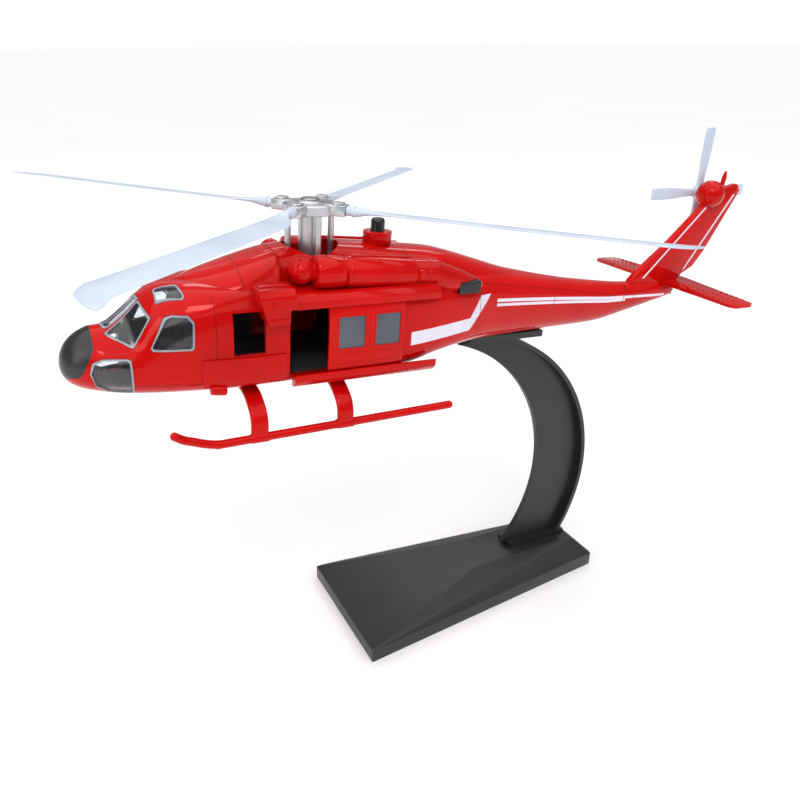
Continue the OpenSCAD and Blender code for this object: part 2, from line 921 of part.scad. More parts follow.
module swash_ring() {
    color(zinc)
        at_mast()
            translate([0, 0, ring_w])
            difference() {
                cylinder(d = well_d - 1, h = ring_t);
                translate([0, 0, -1])
                    cylinder(d = flange_d + 0.8, h = 4);
            }
}

module pitch_rods() {
    color(zinc)
        at_mast()
            for (i = [0:3])
                rotate([0, 0, rotor_set + 45 + 90 * i])
                    translate([rod_orbit, 0, ring_w + ring_t])
                    cylinder(d = rod_d, h = hub_bottom_w - ring_w - ring_t);
}

arm_w = 5.2;
bolt_orbit = 10;
bolt_d = 1.7;
bolt_h = 0.7;

module rotor_hub() {
    color(zinc)
        at_mast()
            translate([0, 0, hub_bottom_w])
            rotate([0, 0, rotor_set])
            difference() {
                union() {
                    cylinder(r = rod_orbit + rod_d / 2 + 0.2, h = hub_t);
                    for (i = [0:3])
                        rotate([0, 0, 90 * i])
                            translate([0, -arm_w / 2, 0])
                            cube([hub_r, arm_w, hub_t]);
                }
                translate([0, 0, -1])
                    cylinder(d = shaft_d + seat_gap, h = hub_t + 2);
                for (i = [0:3])
                    rotate([0, 0, 90 * i])
                        translate([hub_r - 4.8, 0, hub_t / 2])
                        rotate([0, 90, 0])
                        cylinder(d = socket_d + socket_clear * 2, h = 6);
            }
}

module hub_bolts() {
    color(steel)
        at_mast()
            for (i = [0:3])
                rotate([0, 0, rotor_set + 90 * i])
                    translate([bolt_orbit, 0, hub_bottom_w + hub_t])
                    cylinder(d = bolt_d, h = bolt_h, $fn = 6);
}

// Blade ribs: distance out from the root or in from the tip, leading edge, trailing edge
function blade_ribs() = [
    [21, -1.5, 1.8], [24, -1.7, 4], [28.5, blade_lead, blade_trail], [62, blade_lead, blade_trail],
    [rotor_r - 30, blade_lead, blade_trail], [rotor_r - 10, blade_lead - 0.2, blade_trail],
    [rotor_r - 4, 0, blade_trail + tip_flare * 0.6], [rotor_r - 1.6, 2.8, blade_trail + tip_flare * 0.9],
    [rotor_r, 7, blade_trail + tip_flare]
];

module blade_rib(r, thick) {
    chord = r[2] - r[1];
    rise = blade_rise * pow((r[0] - bend_r) / (rotor_r - bend_r), 2);
    translate([r[0], r[1], rise])
        rotate([90, 0, 90])
        linear_extrude(rib_t)
        polygon([
            [0, 0], [chord * 0.08, thick * 0.36], [chord * 0.3, thick * 0.5], [chord * 0.65, thick * 0.34],
            [chord, thick * 0.1], [chord, -thick * 0.1], [chord * 0.6, -thick * 0.34],
            [chord * 0.25, -thick * 0.5], [chord * 0.06, -thick * 0.3]
        ]);
}

root_start = hub_r + 0.1;

module bent(i) {
    translate([bend_r, 0, 0])
        rotate([0, 0, blade_bend[i]])
        translate([-bend_r, 0, 0])
        children();
}

module blade(i) {
    ribs = blade_ribs();
    color(blade_white)
        at_mast()
            translate([0, 0, root_axis_w])
            rotate([0, 0, rotor_set + 90 * i])
            rotate([-blade_pitch[i], 0, 0]) {
                translate([hub_r - 4.4, 0, 0])
                    rotate([0, 90, 0])
                    cylinder(d = socket_d, h = 4.6, $fn = 24);
                translate([root_start, 0, 0])
                    rotate([0, 90, 0])
                    cylinder(d = root_d, h = 5.2, $fn = 24);
                translate([root_start + 2, 0, 0])
                    rotate([0, 90, 0])
                    cylinder(d = root_d + 0.5, h = 1.1, $fn = 24);
                hull() {
                    translate([root_start + 5, 0, 0])
                        rotate([0, 90, 0])
                        cylinder(d = root_d - 0.3, h = 0.2, $fn = 24);
                    bent(i)
                        blade_rib(ribs[0], blade_t * 1.9);
                }
                for (k = [0:len(ribs) - 2])
                    bent(i)
                        hull() {
                            blade_rib(ribs[k], blade_t * (k == 0 ? 1.9 : k == 1 ? 1.5 : 1));
                            blade_rib(ribs[k + 1], blade_t * (k == 0 ? 1.5 : 1));
                        }
            }
}

// ---- tail rotor, on the starboard side of the fin ----
module at_tail_hub(y) {
    translate([tail_hub_s, y, tail_hub_w])
        rotate([-90, 0, 0])
        children();
}

module tail_rotor() {
    color(blade_white)
        difference() {
            at_tail_hub(tail_rotor_y) {
                cylinder(d = 6, h = tail_hub_t);
                for (i = [0:3])
                    rotate([0, 0, 90 * i + tail_rotor_set])
                        hull() {
                            translate([2, -1.3, 0.5])
                                cube([1, 2.6, 1.5]);
                            translate([tail_rotor_r - 13, -tail_chord / 2, 0.8])
                                cube([13, tail_chord, 0.9]);
                        }
            }
            at_tail_hub(0)
                cylinder(d = tail_pin_d + tail_clear * 2, h = 20);
        }
}

module tail_rotor_pin() {
    color(steel) {
        at_tail_hub(pin_start_y)
            cylinder(d = tail_pin_d, h = tail_rotor_y + tail_hub_t + 0.1 - pin_start_y);
        at_tail_hub(tail_rotor_y + tail_hub_t + 0.1)
            cylinder(d = 2.8, h = 0.7);
    }
}

// ---- roof button ----
flange_gap = 0.1;
chamber_d = 6.2;
chamber_top_w = boss_top_w - 1.6;
button_flange_d = chamber_d - 0.4;
button_flange_t = 1.1;
button_low_w = chamber_top_w - flange_gap - button_flange_t;

module at_button(w) translate([button_s, 0, w]) children();

module button_boss() {
    color(red)
        difference() {
            union() {
                at_button(40)
                    cylinder(d = boss_plug_d, h = boss_top_w - 41);
                difference() {
                    at_button(42)
                        cylinder(d = boss_d, h = boss_top_w - 42);
                    fairing_block();
                }
            }
            at_button(39)
                cylinder(d = chamber_d, h = chamber_top_w - 39);
            at_button(39)
                cylinder(d = button_d + button_clear * 2, h = 20);
        }
}

// The flat part of the roof under the boss
boss_seat_w = 43.1;
module fairing_block() at_button(0) cylinder(d = 40, h = boss_seat_w);

module roof_button() {
    color(gloss_black) {
        at_button(button_low_w)
            cylinder(d = button_flange_d, h = button_flange_t);
        at_button(button_low_w + button_flange_t)
            cylinder(d = button_d, h = boss_top_w + button_h - button_low_w - button_flange_t - 0.8);
        at_button(boss_top_w + button_h - 0.8)
            cylinder(d1 = button_d, d2 = button_d - 1.2, h = 0.8);
    }
}

// The battery box, sound board and switch under the button
module sound_unit() {
    color(seat_grey) {
        translate([button_s - 12.6, -7, roof_w + 0.1])
            cube([25.2, 14, 4.2]);
        at_button(roof_w + 4.3)
            cylinder(d = 3, h = button_low_w - button_travel - 0.15 - roof_w - 4.3);
    }
}

// ---- stand ----
module base_layer(points, low, high) {
    hull()
        for (p = points)
            for (side = [-1, 1])
                translate([base_x + p[0], side * p[1], low])
                    cylinder(r = p[2], h = high - low, $fn = 24);
}

corner_r = 1.6;

module base_solid(in) {
    hull() {
        base_layer([
            [corner_r, base_front_w / 2 - corner_r, corner_r - in],
            [base_len - corner_r, base_rear_w / 2 - corner_r, corner_r - in]
        ], 0, base_edge_h - in);
        base_layer([
            [62.6, base_top_w / 2 - 0.4, 0.4], [base_len - 7.4, base_top_w / 2 - 0.4, 0.4]
        ], base_edge_h - in, base_top_h - in);
    }
}

// The room under the base's skin
module base_room() {
    hull() {
        base_layer([
            [base_wall + 1, base_front_w / 2 - base_wall - 1, 1],
            [base_len - base_wall - 1, base_rear_w / 2 - base_wall - 1, 1]
        ], -1, base_edge_h - base_wall);
        base_layer([
            [64, base_top_w / 2 - base_wall, 0.4], [base_len - 9, base_top_w / 2 - base_wall, 0.4]
        ], 0, base_top_h - base_wall);
    }
}

tenon_w = 3.4;
tenon_depth = 4.4;

module foot_tenon(gap) {
    translate([foot_x[0] + 3 - gap, -tenon_w / 2 - gap, base_top_h - tenon_depth - gap])
        cube([foot_x[1] - foot_x[0] - 6 + gap * 2, tenon_w + gap * 2, tenon_depth + 1 + gap]);
}

module stand_base() {
    color(stand_black)
        difference() {
            base_solid(0);
            base_room();
            foot_tenon(0.05);
        }
}

module arm_outline(inset) {
    difference() {
        translate(outer_c)
            circle(r = arm_outer_r, $fn = 96);
        translate(inset > 0 ? outer_c : inner_c)
            circle(r = inset > 0 ? arm_outer_r - inset : arm_inner_r, $fn = 96);
    }
}

module arm_slice(width, inset) {
    intersection() {
        rotate([90, 0, 0])
            translate([0, 0, -width / 2])
            linear_extrude(width)
            arm_outline(inset);
        translate([inner_c[0] + 20, -20, base_top_h + 0.2 + foot_t - 0.5])
            cube([140, 40, pad_top - base_top_h - 4]);
        translate([pad_x, 0, pad_top])
            rotate([0, nose_up, 0])
            translate([-100, -20, -200 - pad_t + 0.4])
            cube([200, 40, 200]);
    }
}

module stand_arm() {
    color(stand_black) {
        arm_slice(arm_web_t, 0);
        difference() {
            arm_slice(arm_rim_w, arm_rim_t);
            translate([inner_c[0], 20, inner_c[1]])
                rotate([90, 0, 0])
                cylinder(r = arm_inner_r, h = 40, $fn = 96);
        }
        translate([foot_x[0], -arm_rim_w / 2, base_top_h + 0.05])
            cube([foot_x[1] - foot_x[0], arm_rim_w, foot_t]);
        foot_tenon(0);
        translate([pad_x, 0, pad_top])
            rotate([0, nose_up, 0])
            translate([-pad_len / 2, -arm_rim_w / 2, -pad_t])
            cube([pad_len, arm_rim_w, pad_t]);
    }
}

stand_base();
stand_arm();
flying() nose_cone();
flying() cabin_shell();
flying() belly_pan();
flying() roof_fairing();
flying() tail_fin();
flying() stabilator();
flying() gearbox_dome();
flying() fin_antenna();
flying() windscreen();
flying() side_window();  // side_window_port
flying() starboard() side_window();  // side_window_starboard
flying() chin_window();  // chin_window_port
flying() starboard() chin_window();  // chin_window_starboard
flying() roof_windows();
flying() cabin_floor();
flying() instrument_panel();
flying() pilot_seat();
flying() copilot_seat();
flying() cabin_bench();
flying() cockpit_bulkhead();
flying() door(door_open);  // door_port
flying() starboard() door(0);  // door_starboard
flying() upper_rail();  // upper_rail_port
flying() starboard() upper_rail();  // upper_rail_starboard
flying() lower_rail();  // lower_rail_port
flying() starboard() lower_rail();  // lower_rail_starboard
flying() side_panel();  // side_panel_port
flying() starboard() side_panel();  // side_panel_starboard
flying() hoist_housing();
flying() engine();  // engine_port
flying() starboard() engine();  // engine_starboard
flying() intake_cap();  // intake_cap_port
flying() starboard() intake_cap();  // intake_cap_starboard
flying() exhaust();  // exhaust_port
flying() starboard() exhaust();  // exhaust_starboard
flying() skid();  // skid_port
flying() starboard() skid();  // skid_starboard
flying() strut(58.6);  // front_strut
flying() strut(89.6);  // rear_strut
flying() mast_housing();
flying() rotor_shaft();
flying() swash_ring();
flying() pitch_rods();
flying() rotor_hub();
flying() hub_bolts();
flying() blade(0);  // blade_1
flying() blade(1);  // blade_2
flying() blade(2);  // blade_3
flying() blade(3);  // blade_4
flying() tail_rotor();
flying() tail_rotor_pin();
flying() roof_button();
flying() button_boss();
flying() sound_unit();
flying() belly_screws();
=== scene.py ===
import json
import math

import bmesh
import bpy
import numpy as np
from mathutils import Matrix, Vector


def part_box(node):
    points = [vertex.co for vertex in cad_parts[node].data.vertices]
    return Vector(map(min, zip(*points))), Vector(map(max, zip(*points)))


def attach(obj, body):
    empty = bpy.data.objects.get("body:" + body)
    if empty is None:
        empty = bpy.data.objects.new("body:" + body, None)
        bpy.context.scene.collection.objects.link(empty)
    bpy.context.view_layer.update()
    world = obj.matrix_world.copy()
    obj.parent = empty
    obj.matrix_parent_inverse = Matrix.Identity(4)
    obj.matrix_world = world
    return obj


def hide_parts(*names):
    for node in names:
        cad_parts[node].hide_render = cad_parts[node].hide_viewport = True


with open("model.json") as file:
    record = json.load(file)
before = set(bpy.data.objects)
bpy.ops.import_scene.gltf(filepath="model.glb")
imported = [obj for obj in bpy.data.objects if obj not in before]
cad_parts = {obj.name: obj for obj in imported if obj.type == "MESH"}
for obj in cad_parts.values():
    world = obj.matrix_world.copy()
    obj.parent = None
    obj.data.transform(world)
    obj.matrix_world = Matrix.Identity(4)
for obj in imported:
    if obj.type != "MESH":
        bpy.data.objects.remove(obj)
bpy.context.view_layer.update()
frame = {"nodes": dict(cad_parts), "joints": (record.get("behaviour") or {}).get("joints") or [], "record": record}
MM = 0.001

# ---------------------------------------------------------------- helicopter axes
# Airframe pieces are drawn in millimetres: station aft from the nose tip, Y to starboard,
# waterline up. The rotor head's joint says where that lands in the row frame.
NOSE_UP = math.radians(3.63)
ROTOR_S, ROTOR_W = 84.7, 56.5
head = Vector(next(j for j in frame["joints"] if j["name"] == "main_rotor_spin")["pos_m"])
AFT = Vector((math.cos(NOSE_UP), 0, -math.sin(NOSE_UP)))
UP = Vector((math.sin(NOSE_UP), 0, math.cos(NOSE_UP)))


def flown(points):
    """Helicopter millimetres to metres in the row frame."""
    p = np.asarray(points, float).reshape(-1, 3)
    out = np.empty_like(p)
    ds, dw = (p[:, 0] - ROTOR_S) * MM, (p[:, 2] - ROTOR_W) * MM
    for k in range(3):
        out[:, k] = head[k] + AFT[k] * ds + UP[k] * dw
    out[:, 1] = p[:, 1] * MM
    return out


# ---------------------------------------------------------------- fuselage sections
CABIN = 21.9
HULL_ROWS = [
    [0, 0.3, 9.2, 9.5, 9.8, 2, 2], [0.6, 3.2, 6.4, 9.5, 13.2, 2, 2],
    [2.4, 6.2, 3.6, 9.8, 16.6, 1.9, 2], [5.4, 8.8, 1.9, 10.2, 19.4, 1.8, 2.2],
    [9.6, 11.2, 0.9, 10.6, 21.4, 1.7, 2.5], [15, 13.5, 0.3, 11, 22.4, 1.5, 2.9],
    [21.3, 16, 0, 11.2, 27.4, 1.4, 3.1], [26.8, 17.8, -0.1, 11.5, 31.6, 1.9, 3.2],
    [33, CABIN - 2.7, -0.1, 12, 34.4, 2.6, 3.4], [42, CABIN - 1.2, -0.1, 12.5, 35.4, 3.4, 3.6],
    [54, CABIN - 0.2, 0, 13, 35.2, 4.2, 4], [84, CABIN, 0.4, 13, 34.6, 4.4, 4],
    [114, CABIN - 0.3, 1, 13, 34.4, 4.4, 3.8], [128, CABIN - 1.9, 3.4, 14, 34.2, 4, 3.4],
    [144, CABIN - 5.1, 4.7, 16, 33, 3.4, 3], [160, 13.2, 4.5, 17, 31.4, 3, 2.8],
    [190, 8.8, 4.4, 16, 25.6, 2.7, 2.6], [214, 6.6, 4.8, 14.5, 22, 2.5, 2.5],
    [227.5, 5.4, 7, 14.2, 20.4, 2.4, 2.4], [244, 4, 10.2, 14.6, 19.6, 2.2, 2.2],
    [256, 2.4, 12.6, 15.2, 18.6, 2, 2], [259, 0.9, 14.4, 15.6, 17, 2, 2],
]
FAIRING_ROWS = [
    [37.5, 1.5, 26, 30, 35.2, 2, 2], [40.5, 8, 26, 30, 36, 2, 2], [46, 13, 26, 30, 37.6, 2.1, 2],
    [54, 16, 26, 30, 39.8, 2.2, 2], [62, 17.2, 26, 30, 42, 2.3, 2], [68.5, 17, 26, 30, 43.6, 2.4, 2],
    [71, 13.4, 26, 30, 44.2, 2.6, 2], [78, 12.8, 26, 30, 44.8, 2.8, 2], [92, 12.6, 26, 30, 44.8, 2.8, 2],
    [104, 12.4, 26, 30, 43.9, 2.8, 2], [118, 12.2, 26, 30, 42.4, 2.7, 2], [132, 12, 26, 30, 40.8, 2.6, 2],
    [142, 11.4, 26, 29, 38.4, 2.5, 2], [153, 10.4, 22, 27, 35, 2.4, 2], [166, 8.8, 18, 24, 31, 2.3, 2],
    [180, 6.6, 16, 21, 27.8, 2.2, 2], [194, 4, 14, 18, 25, 2.1, 2],
]
WALL = 1.2
RING = 96
STEPS = 8


def smoothed(rows, steps=STEPS):
    """Catmull-Rom rows between the given rows, ends included."""
    r = np.asarray(rows, float)
    out = []
    for i in range(len(r) - 1):
        a, b, c, d = r[max(i - 1, 0)], r[i], r[i + 1], r[min(i + 2, len(r) - 1)]
        for j in range(steps):
            t = j / steps
            out.append(0.5 * (2 * b + (c - a) * t + (2 * a - 5 * b + 4 * c - d) * t * t
                              + (3 * b - a - 3 * c + d) * t ** 3))
    out.append(r[-1])
    return np.array(out)


def section(row, grow=0.0, count=RING):
    """Points (y, w) around one fuselage section."""
    a = 2 * np.pi * (np.arange(count) + 0.5) / count
    c, s = np.cos(a), np.sin(a)
    e = 2 / np.where(s > 0, row[5], row[6])
    rise = np.where(s > 0, row[4] - row[3], row[3] - row[2])
    y = (row[1] + grow) * np.sign(c) * np.abs(c) ** e
    w = row[3] + (rise + grow) * np.sign(s) * np.abs(s) ** e
    return np.stack([y, w], 1)


DENSE = smoothed(HULL_ROWS, 16)


def side_y(s, w, grow=0.0):
    """Half breadth of the hull at a station and waterline."""
    row = np.array([np.interp(s, DENSE[:, 0], DENSE[:, k]) for k in range(7)])
    n = row[5] if w > row[3] else row[6]
    rise = (row[4] - row[3] if w > row[3] else row[3] - row[2]) + grow
    return (row[1] + grow) * max(0.0, 1 - min(1, abs(w - row[3]) / rise) ** n) ** (1 / n)


# ---------------------------------------------------------------- mesh helpers
def to_mesh(name, points, faces):
    me = bpy.data.meshes.new(name)
    me.from_pydata([tuple(p) for p in points], [], faces)
    me.validate()
    return me


def loft_points(rings):
    """Rings of equal length to points and outward faces, ends capped."""
    n = len(rings[0])
    points = np.concatenate(rings)
    faces = []
    for i in range(len(rings) - 1):
        for j in range(n):
            k = (j + 1) % n
            faces.append((i * n + j, i * n + k, (i + 1) * n + k, (i + 1) * n + j))
    faces.append(tuple(range(n))[::-1])
    faces.append(tuple((len(rings) - 1) * n + j for j in range(n)))
    return points, faces


def outward(me):
    bm = bmesh.new()
    bm.from_mesh(me)
    bmesh.ops.remove_doubles(bm, verts=bm.verts, dist=1e-7)
    bmesh.ops.recalc_face_normals(bm, faces=bm.faces)
    bm.to_mesh(me)
    bm.free()
    return me


def scratch(name, me):
    o = bpy.data.objects.new(name, me)
    bpy.context.scene.collection.objects.link(o)
    return o


def loft(rows, grow=0.0, name="loft", count=RING):
    rings = []
    for r in rows:
        yw = section(r, grow, count)
        rings.append(np.column_stack([np.full(len(yw), r[0]), yw]))
    p, f = loft_points(rings)
    return scratch(name, outward(to_mesh(name, flown(p), f)))


def hull_of(points, name="block", fly=True):
    """Convex block over its corner points."""
    bm = bmesh.new()
    for p in flown(points) if fly else np.asarray(points, float) * MM:
        bm.verts.new(p)
    bmesh.ops.convex_hull(bm, input=bm.verts)
    loose = [v for v in bm.verts if not v.link_faces]
    bmesh.ops.delete(bm, geom=loose, context="VERTS")
    bmesh.ops.dissolve_limit(bm, angle_limit=0.01, verts=bm.verts, edges=bm.edges)
    bmesh.ops.recalc_face_normals(bm, faces=bm.faces)
    me = bpy.data.meshes.new(name)
    bm.to_mesh(me)
    bm.free()
    return scratch(name, me)


def box_of(s, y, w, fly=True, name="block"):
    return hull_of([(a, b, c) for a in s for b in y for c in w], name, fly)


def baked(o):
    """Replaces an object's mesh by its evaluated one and drops the modifiers."""
    bpy.context.view_layer.update()
    me = bpy.data.meshes.new_from_object(o.evaluated_get(bpy.context.evaluated_depsgraph_get()))
    o.modifiers.clear()
    o.data = me
    return o


def drop(*objects):
    for o in objects:
        bpy.data.objects.remove(o)


def boolean(o, cutter, operation="DIFFERENCE", keep=False, crossing=False):
    """crossing says that the cutter's own pieces run through one another."""
    m = o.modifiers.new("cut", "BOOLEAN")
    m.object, m.operation, m.solver, m.use_self = cutter, operation, "EXACT", crossing
    baked(o)
    if not keep:
        drop(cutter)
    return o


def joined(objects, name="joined"):
    bm = bmesh.new()
    for o in objects:
        bm.from_mesh(o.data)
    me = bpy.data.meshes.new(name)
    bm.to_mesh(me)
    bm.free()
    drop(*objects)
    return scratch(name, me)


def copied(o, name="copy"):
    return scratch(name, o.data.copy())


def mirrored(o, name="mirrored"):
    """The same piece on the starboard side."""
    me = o.data.copy()
    me.transform(Matrix.Scale(-1, 4, (0, 1, 0)))
    bm = bmesh.new()
    bm.from_mesh(me)
    bmesh.ops.reverse_faces(bm, faces=bm.faces)
    bm.to_mesh(me)
    bm.free()
    return scratch(name, me)


def starboard(o):
    other = mirrored(o)
    drop(o)
    return other


def bevelled(o, width, segments=2, angle=30):
    m = o.modifiers.new("edge", "BEVEL")
    m.width, m.segments, m.limit_method = width * MM, segments, "ANGLE"
    m.angle_limit, m.use_clamp_overlap, m.harden_normals = math.radians(angle), True, False
    return baked(o)


def crisp(o, angle=32):
    """Smooth shading with sharp edges where the surface turns more than the angle."""
    bm = bmesh.new()
    bm.from_mesh(o.data)
    for f in bm.faces:
        f.smooth = True
    for e in bm.edges:
        e.smooth = len(e.link_faces) == 2 and e.calc_face_angle(0) < math.radians(angle)
    bm.to_mesh(o.data)
    bm.free()
    return o


def finish(o, name, body, material, replaces=(), angle=32):
    o.name = name
    o.data.name = name
    crisp(o, angle)
    o.data.materials.clear()
    o.data.materials.append(material)
    for p in o.data.polygons:
        p.material_index = 0
    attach(o, body)
    if replaces:
        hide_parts(*replaces)
    return o


def cad_copy(node, width, segments=2, angle=30, merge=4):
    """A CAD node's shape with its edges rounded."""
    me = frame["nodes"][node].data.copy()
    bm = bmesh.new()
    bm.from_mesh(me)
    bmesh.ops.remove_doubles(bm, verts=bm.verts, dist=1e-6)
    bmesh.ops.dissolve_limit(bm, angle_limit=math.radians(merge), verts=bm.verts, edges=bm.edges)
    bm.to_mesh(me)
    bm.free()
    return bevelled(scratch(node, me), width, segments, angle)


def revolved(profile, place, count=64, name="turned"):
    """A closed turned shape. profile is (radius, height); place maps (x, y, z) mm to mm."""
    rings = []
    for r, h in profile:
        a = 2 * np.pi * np.arange(count) / count
        rings.append(np.array([place(max(r, 0.001) * math.cos(t), max(r, 0.001) * math.sin(t), h) for t in a]))
    p, f = loft_points(rings)
    return p, f


def swept(path, profile, name="swept", side=(0, 0, 1)):
    """A profile of (across, up) mm carried along a path, ends capped."""
    path = np.asarray(path, float)
    tangents = np.gradient(path, axis=0)
    rings = []
    for p, t in zip(path, tangents):
        t = t / np.linalg.norm(t)
        a = np.cross(t, side)
        a = a / np.linalg.norm(a)
        b = np.cross(a, t)
        rings.append(np.array([p + a * u + b * v for u, v in profile]))
    pts, faces = loft_points(rings)
    return scratch(name, outward(to_mesh(name, flown(pts), faces)))


def spline(points, steps=10):
    r = np.asarray(points, float)
    out = []
    for i in range(len(r) - 1):
        a, b, c, d = r[max(i - 1, 0)], r[i], r[i + 1], r[min(i + 2, len(r) - 1)]
        for j in range(steps):
            t = j / steps
            out.append(0.5 * (2 * b + (c - a) * t + (2 * a - 5 * b + 4 * c - d) * t * t
                              + (3 * b - a - 3 * c + d) * t ** 3))
    out.append(r[-1])
    return np.array(out)


def rounded(width, height, r, n=5):
    """A rounded rectangle's outline."""
    out = []
    for cx, cy, a0 in ((1, 1, 0), (-1, 1, 90), (-1, -1, 180), (1, -1, 270)):
        for k in range(n + 1):
            a = math.radians(a0 + 90 * k / n)
            out.append((cx * (width / 2 - r) + r * math.cos(a), cy * (height / 2 - r) + r * math.sin(a)))
    return out


def circle_of(r, n=24):
    return [(r * math.cos(2 * math.pi * k / n), r * math.sin(2 * math.pi * k / n)) for k in range(n)]


def patch(s_range, w_range, inner, outer, ns=20, nw=16, name="patch"):
    """A plate that follows the hull's port side, between two growths of the hull."""
    ss = np.linspace(*s_range, ns)
    ws = np.linspace(*w_range, nw)
    rings = []
    for s in ss:
        out = [(s, -side_y(s, w, outer), w) for w in ws]
        back = [(s, -side_y(s, w, inner), w) for w in ws[::-1]]
        rings.append(np.array(out + back))
    p, f = loft_points(rings)
    return scratch(name, outward(to_mesh(name, flown(p), f)))


def prism_y(outline, y0, y1, name="prism"):
    """An (s, w) outline drawn out across the helicopter."""
    n = len(outline)
    p = [(s, y0, w) for s, w in outline] + [(s, y1, w) for s, w in outline]
    f = [tuple(range(n)), tuple(range(2 * n - 1, n - 1, -1))]
    f += [(i, (i + 1) % n, n + (i + 1) % n, n + i) for i in range(n)]
    return scratch(name, outward(to_mesh(name, flown(p), f)))


def prism_s(outline, s0, s1, name="prism"):
    """A (y, w) outline drawn out along the helicopter."""
    n = len(outline)
    p = [(s0, y, w) for y, w in outline] + [(s1, y, w) for y, w in outline]
    f = [tuple(range(n)), tuple(range(2 * n - 1, n - 1, -1))]
    f += [(i, (i + 1) % n, n + (i + 1) % n, n + i) for i in range(n)]
    return scratch(name, outward(to_mesh(name, flown(p), f)))


# ---------------------------------------------------------------- shader maths
class Wire:
    """A socket whose arithmetic adds Math nodes."""

    def __init__(self, finish_, socket):
        self.finish, self.socket = finish_, socket

    def _math(self, op, *args):
        return self.finish.node("ShaderNodeMath", {"operation": op}, dict(enumerate(args)))

    def __add__(self, o):
        return self._math("ADD", self, o)

    def __sub__(self, o):
        return self._math("SUBTRACT", self, o)

    def __rsub__(self, o):
        return self._math("SUBTRACT", o, self)

    def __mul__(self, o):
        return self._math("MULTIPLY", self, o)

    def __truediv__(self, o):
        return self._math("DIVIDE", self, o)

    def __pow__(self, o):
        return self._math("POWER", self, o)

    def __abs__(self):
        return self._math("ABSOLUTE", self)

    __radd__, __rmul__ = __add__, __mul__

    def above(self, o):
        return self._math("GREATER_THAN", self, o)

    def below(self, o):
        return self._math("LESS_THAN", self, o)

    def most(self, o):
        return self._math("MAXIMUM", self, o)

    def least(self, o):
        return self._math("MINIMUM", self, o)

    def ramp(self, low, high, a=0.0, b=1.0):
        return self.finish.node("ShaderNodeMapRange", {"clamp": True}, {
            "Value": self, "From Min": low, "From Max": high, "To Min": a, "To Max": b})


class Finish:
    """A material whose nodes come from one method."""

    def __init__(self, name, **fixed):
        self.material = bpy.data.materials.new(name)
        self.material.use_nodes = True
        self.tree = self.material.node_tree
        self.shader = next(n for n in self.tree.nodes if n.type == "BSDF_PRINCIPLED")
        for key, value in fixed.items():
            self.shader.inputs[key.replace("_", " ")].default_value = value
        self.here = self.node("ShaderNodeTexCoord", out="Object")

    def node(self, kind, settings=None, inputs=None, out=0):
        n = self.tree.nodes.new(kind)
        for key, value in (settings or {}).items():
            if key == "stops":
                for i, (pos, col) in enumerate(value):
                    e = n.color_ramp.elements[i] if i < 2 else n.color_ramp.elements.new(pos)
                    e.position, e.color = pos, col
            else:
                setattr(n, key, value)
        for key, value in (inputs or {}).items():
            if isinstance(value, Wire):
                self.tree.links.new(value.socket, n.inputs[key])
            elif value is not None:
                n.inputs[key].default_value = value
        return Wire(self, n.outputs[out])

    def noise(self, scale, detail=3.0, rough=0.5, stretch=None):
        where = self.here
        if stretch:
            where = self.node("ShaderNodeVectorMath", {"operation": "MULTIPLY"}, {0: self.here, 1: stretch})
        return self.node("ShaderNodeTexNoise", None, {
            "Vector": where, "Scale": scale, "Detail": detail, "Roughness": rough})

    def mix(self, mask, a, b):
        a, b = (v if isinstance(v, Wire) else (*v[:3], 1) for v in (a, b))
        return self.node("ShaderNodeMix", {"data_type": "RGBA"}, {0: mask, 6: a, 7: b}, out=2)

    def dot(self, vector, offset=0.0):
        d = self.node("ShaderNodeVectorMath", {"operation": "DOT_PRODUCT"}, {0: self.here, 1: vector}, out="Value")
        return d + offset

    def feed(self, **wires):
        for key, w in wires.items():
            self.tree.links.new(w.socket, self.shader.inputs[key.replace("_", " ")])

    def bump(self, height, strength, distance):
        return self.node("ShaderNodeBump", None, {
            "Height": height, "Strength": strength, "Distance": distance}, out="Normal")


def heli_axes(f):
    """Station, port-starboard and waterline in millimetres, as wires."""
    s = f.dot(tuple(AFT * 1000), ROTOR_S - 1000 * head.dot(AFT))
    y = f.dot((0, 1000, 0))
    w = f.dot(tuple(UP * 1000), ROTOR_W - 1000 * head.dot(UP))
    return s, y, w


def line(x, at, half):
    """1 on a thin line where x is at the value, 0 away from it."""
    return abs(x - at).ramp(half * 0.6, half * 1.4, 1.0, 0.0)


WHITE = (0.80, 0.78, 0.90)


def gloss_red(name, livery=None, seams=None):
    f = Finish(name, Coat_Weight=0.2, Coat_Roughness=0.03, Specular_IOR_Level=0.3,
               Specular_Tint=(1.0, 0.15, 0.12, 1.0))
    s, y, w = heli_axes(f)
    orange_peel = f.noise(900, 2)
    cloud = f.noise(38, 3)
    red = f.mix(cloud.ramp(0.3, 0.7), (0.50, 0.002, 0.002), (0.60, 0.004, 0.003))
    height = orange_peel * 0.25
    rough = f.noise(160, 4).ramp(0.35, 0.75, 0.07, 0.17)
    if livery:
        mask = livery(s, y, w)
        red = f.mix(mask, red, WHITE)
        height = height + mask * 0.35
        rough = rough + mask * 0.12
    if seams:
        cut = seams(s, y, w)
        red = f.mix(cut * 0.75, red, (0.10, 0.002, 0.002))
        height = height - cut * 1.6
        rough = rough + cut * 0.3
    f.feed(Base_Color=red, Roughness=rough, Normal=f.bump(height, 0.35, 0.00012))
    return f.material


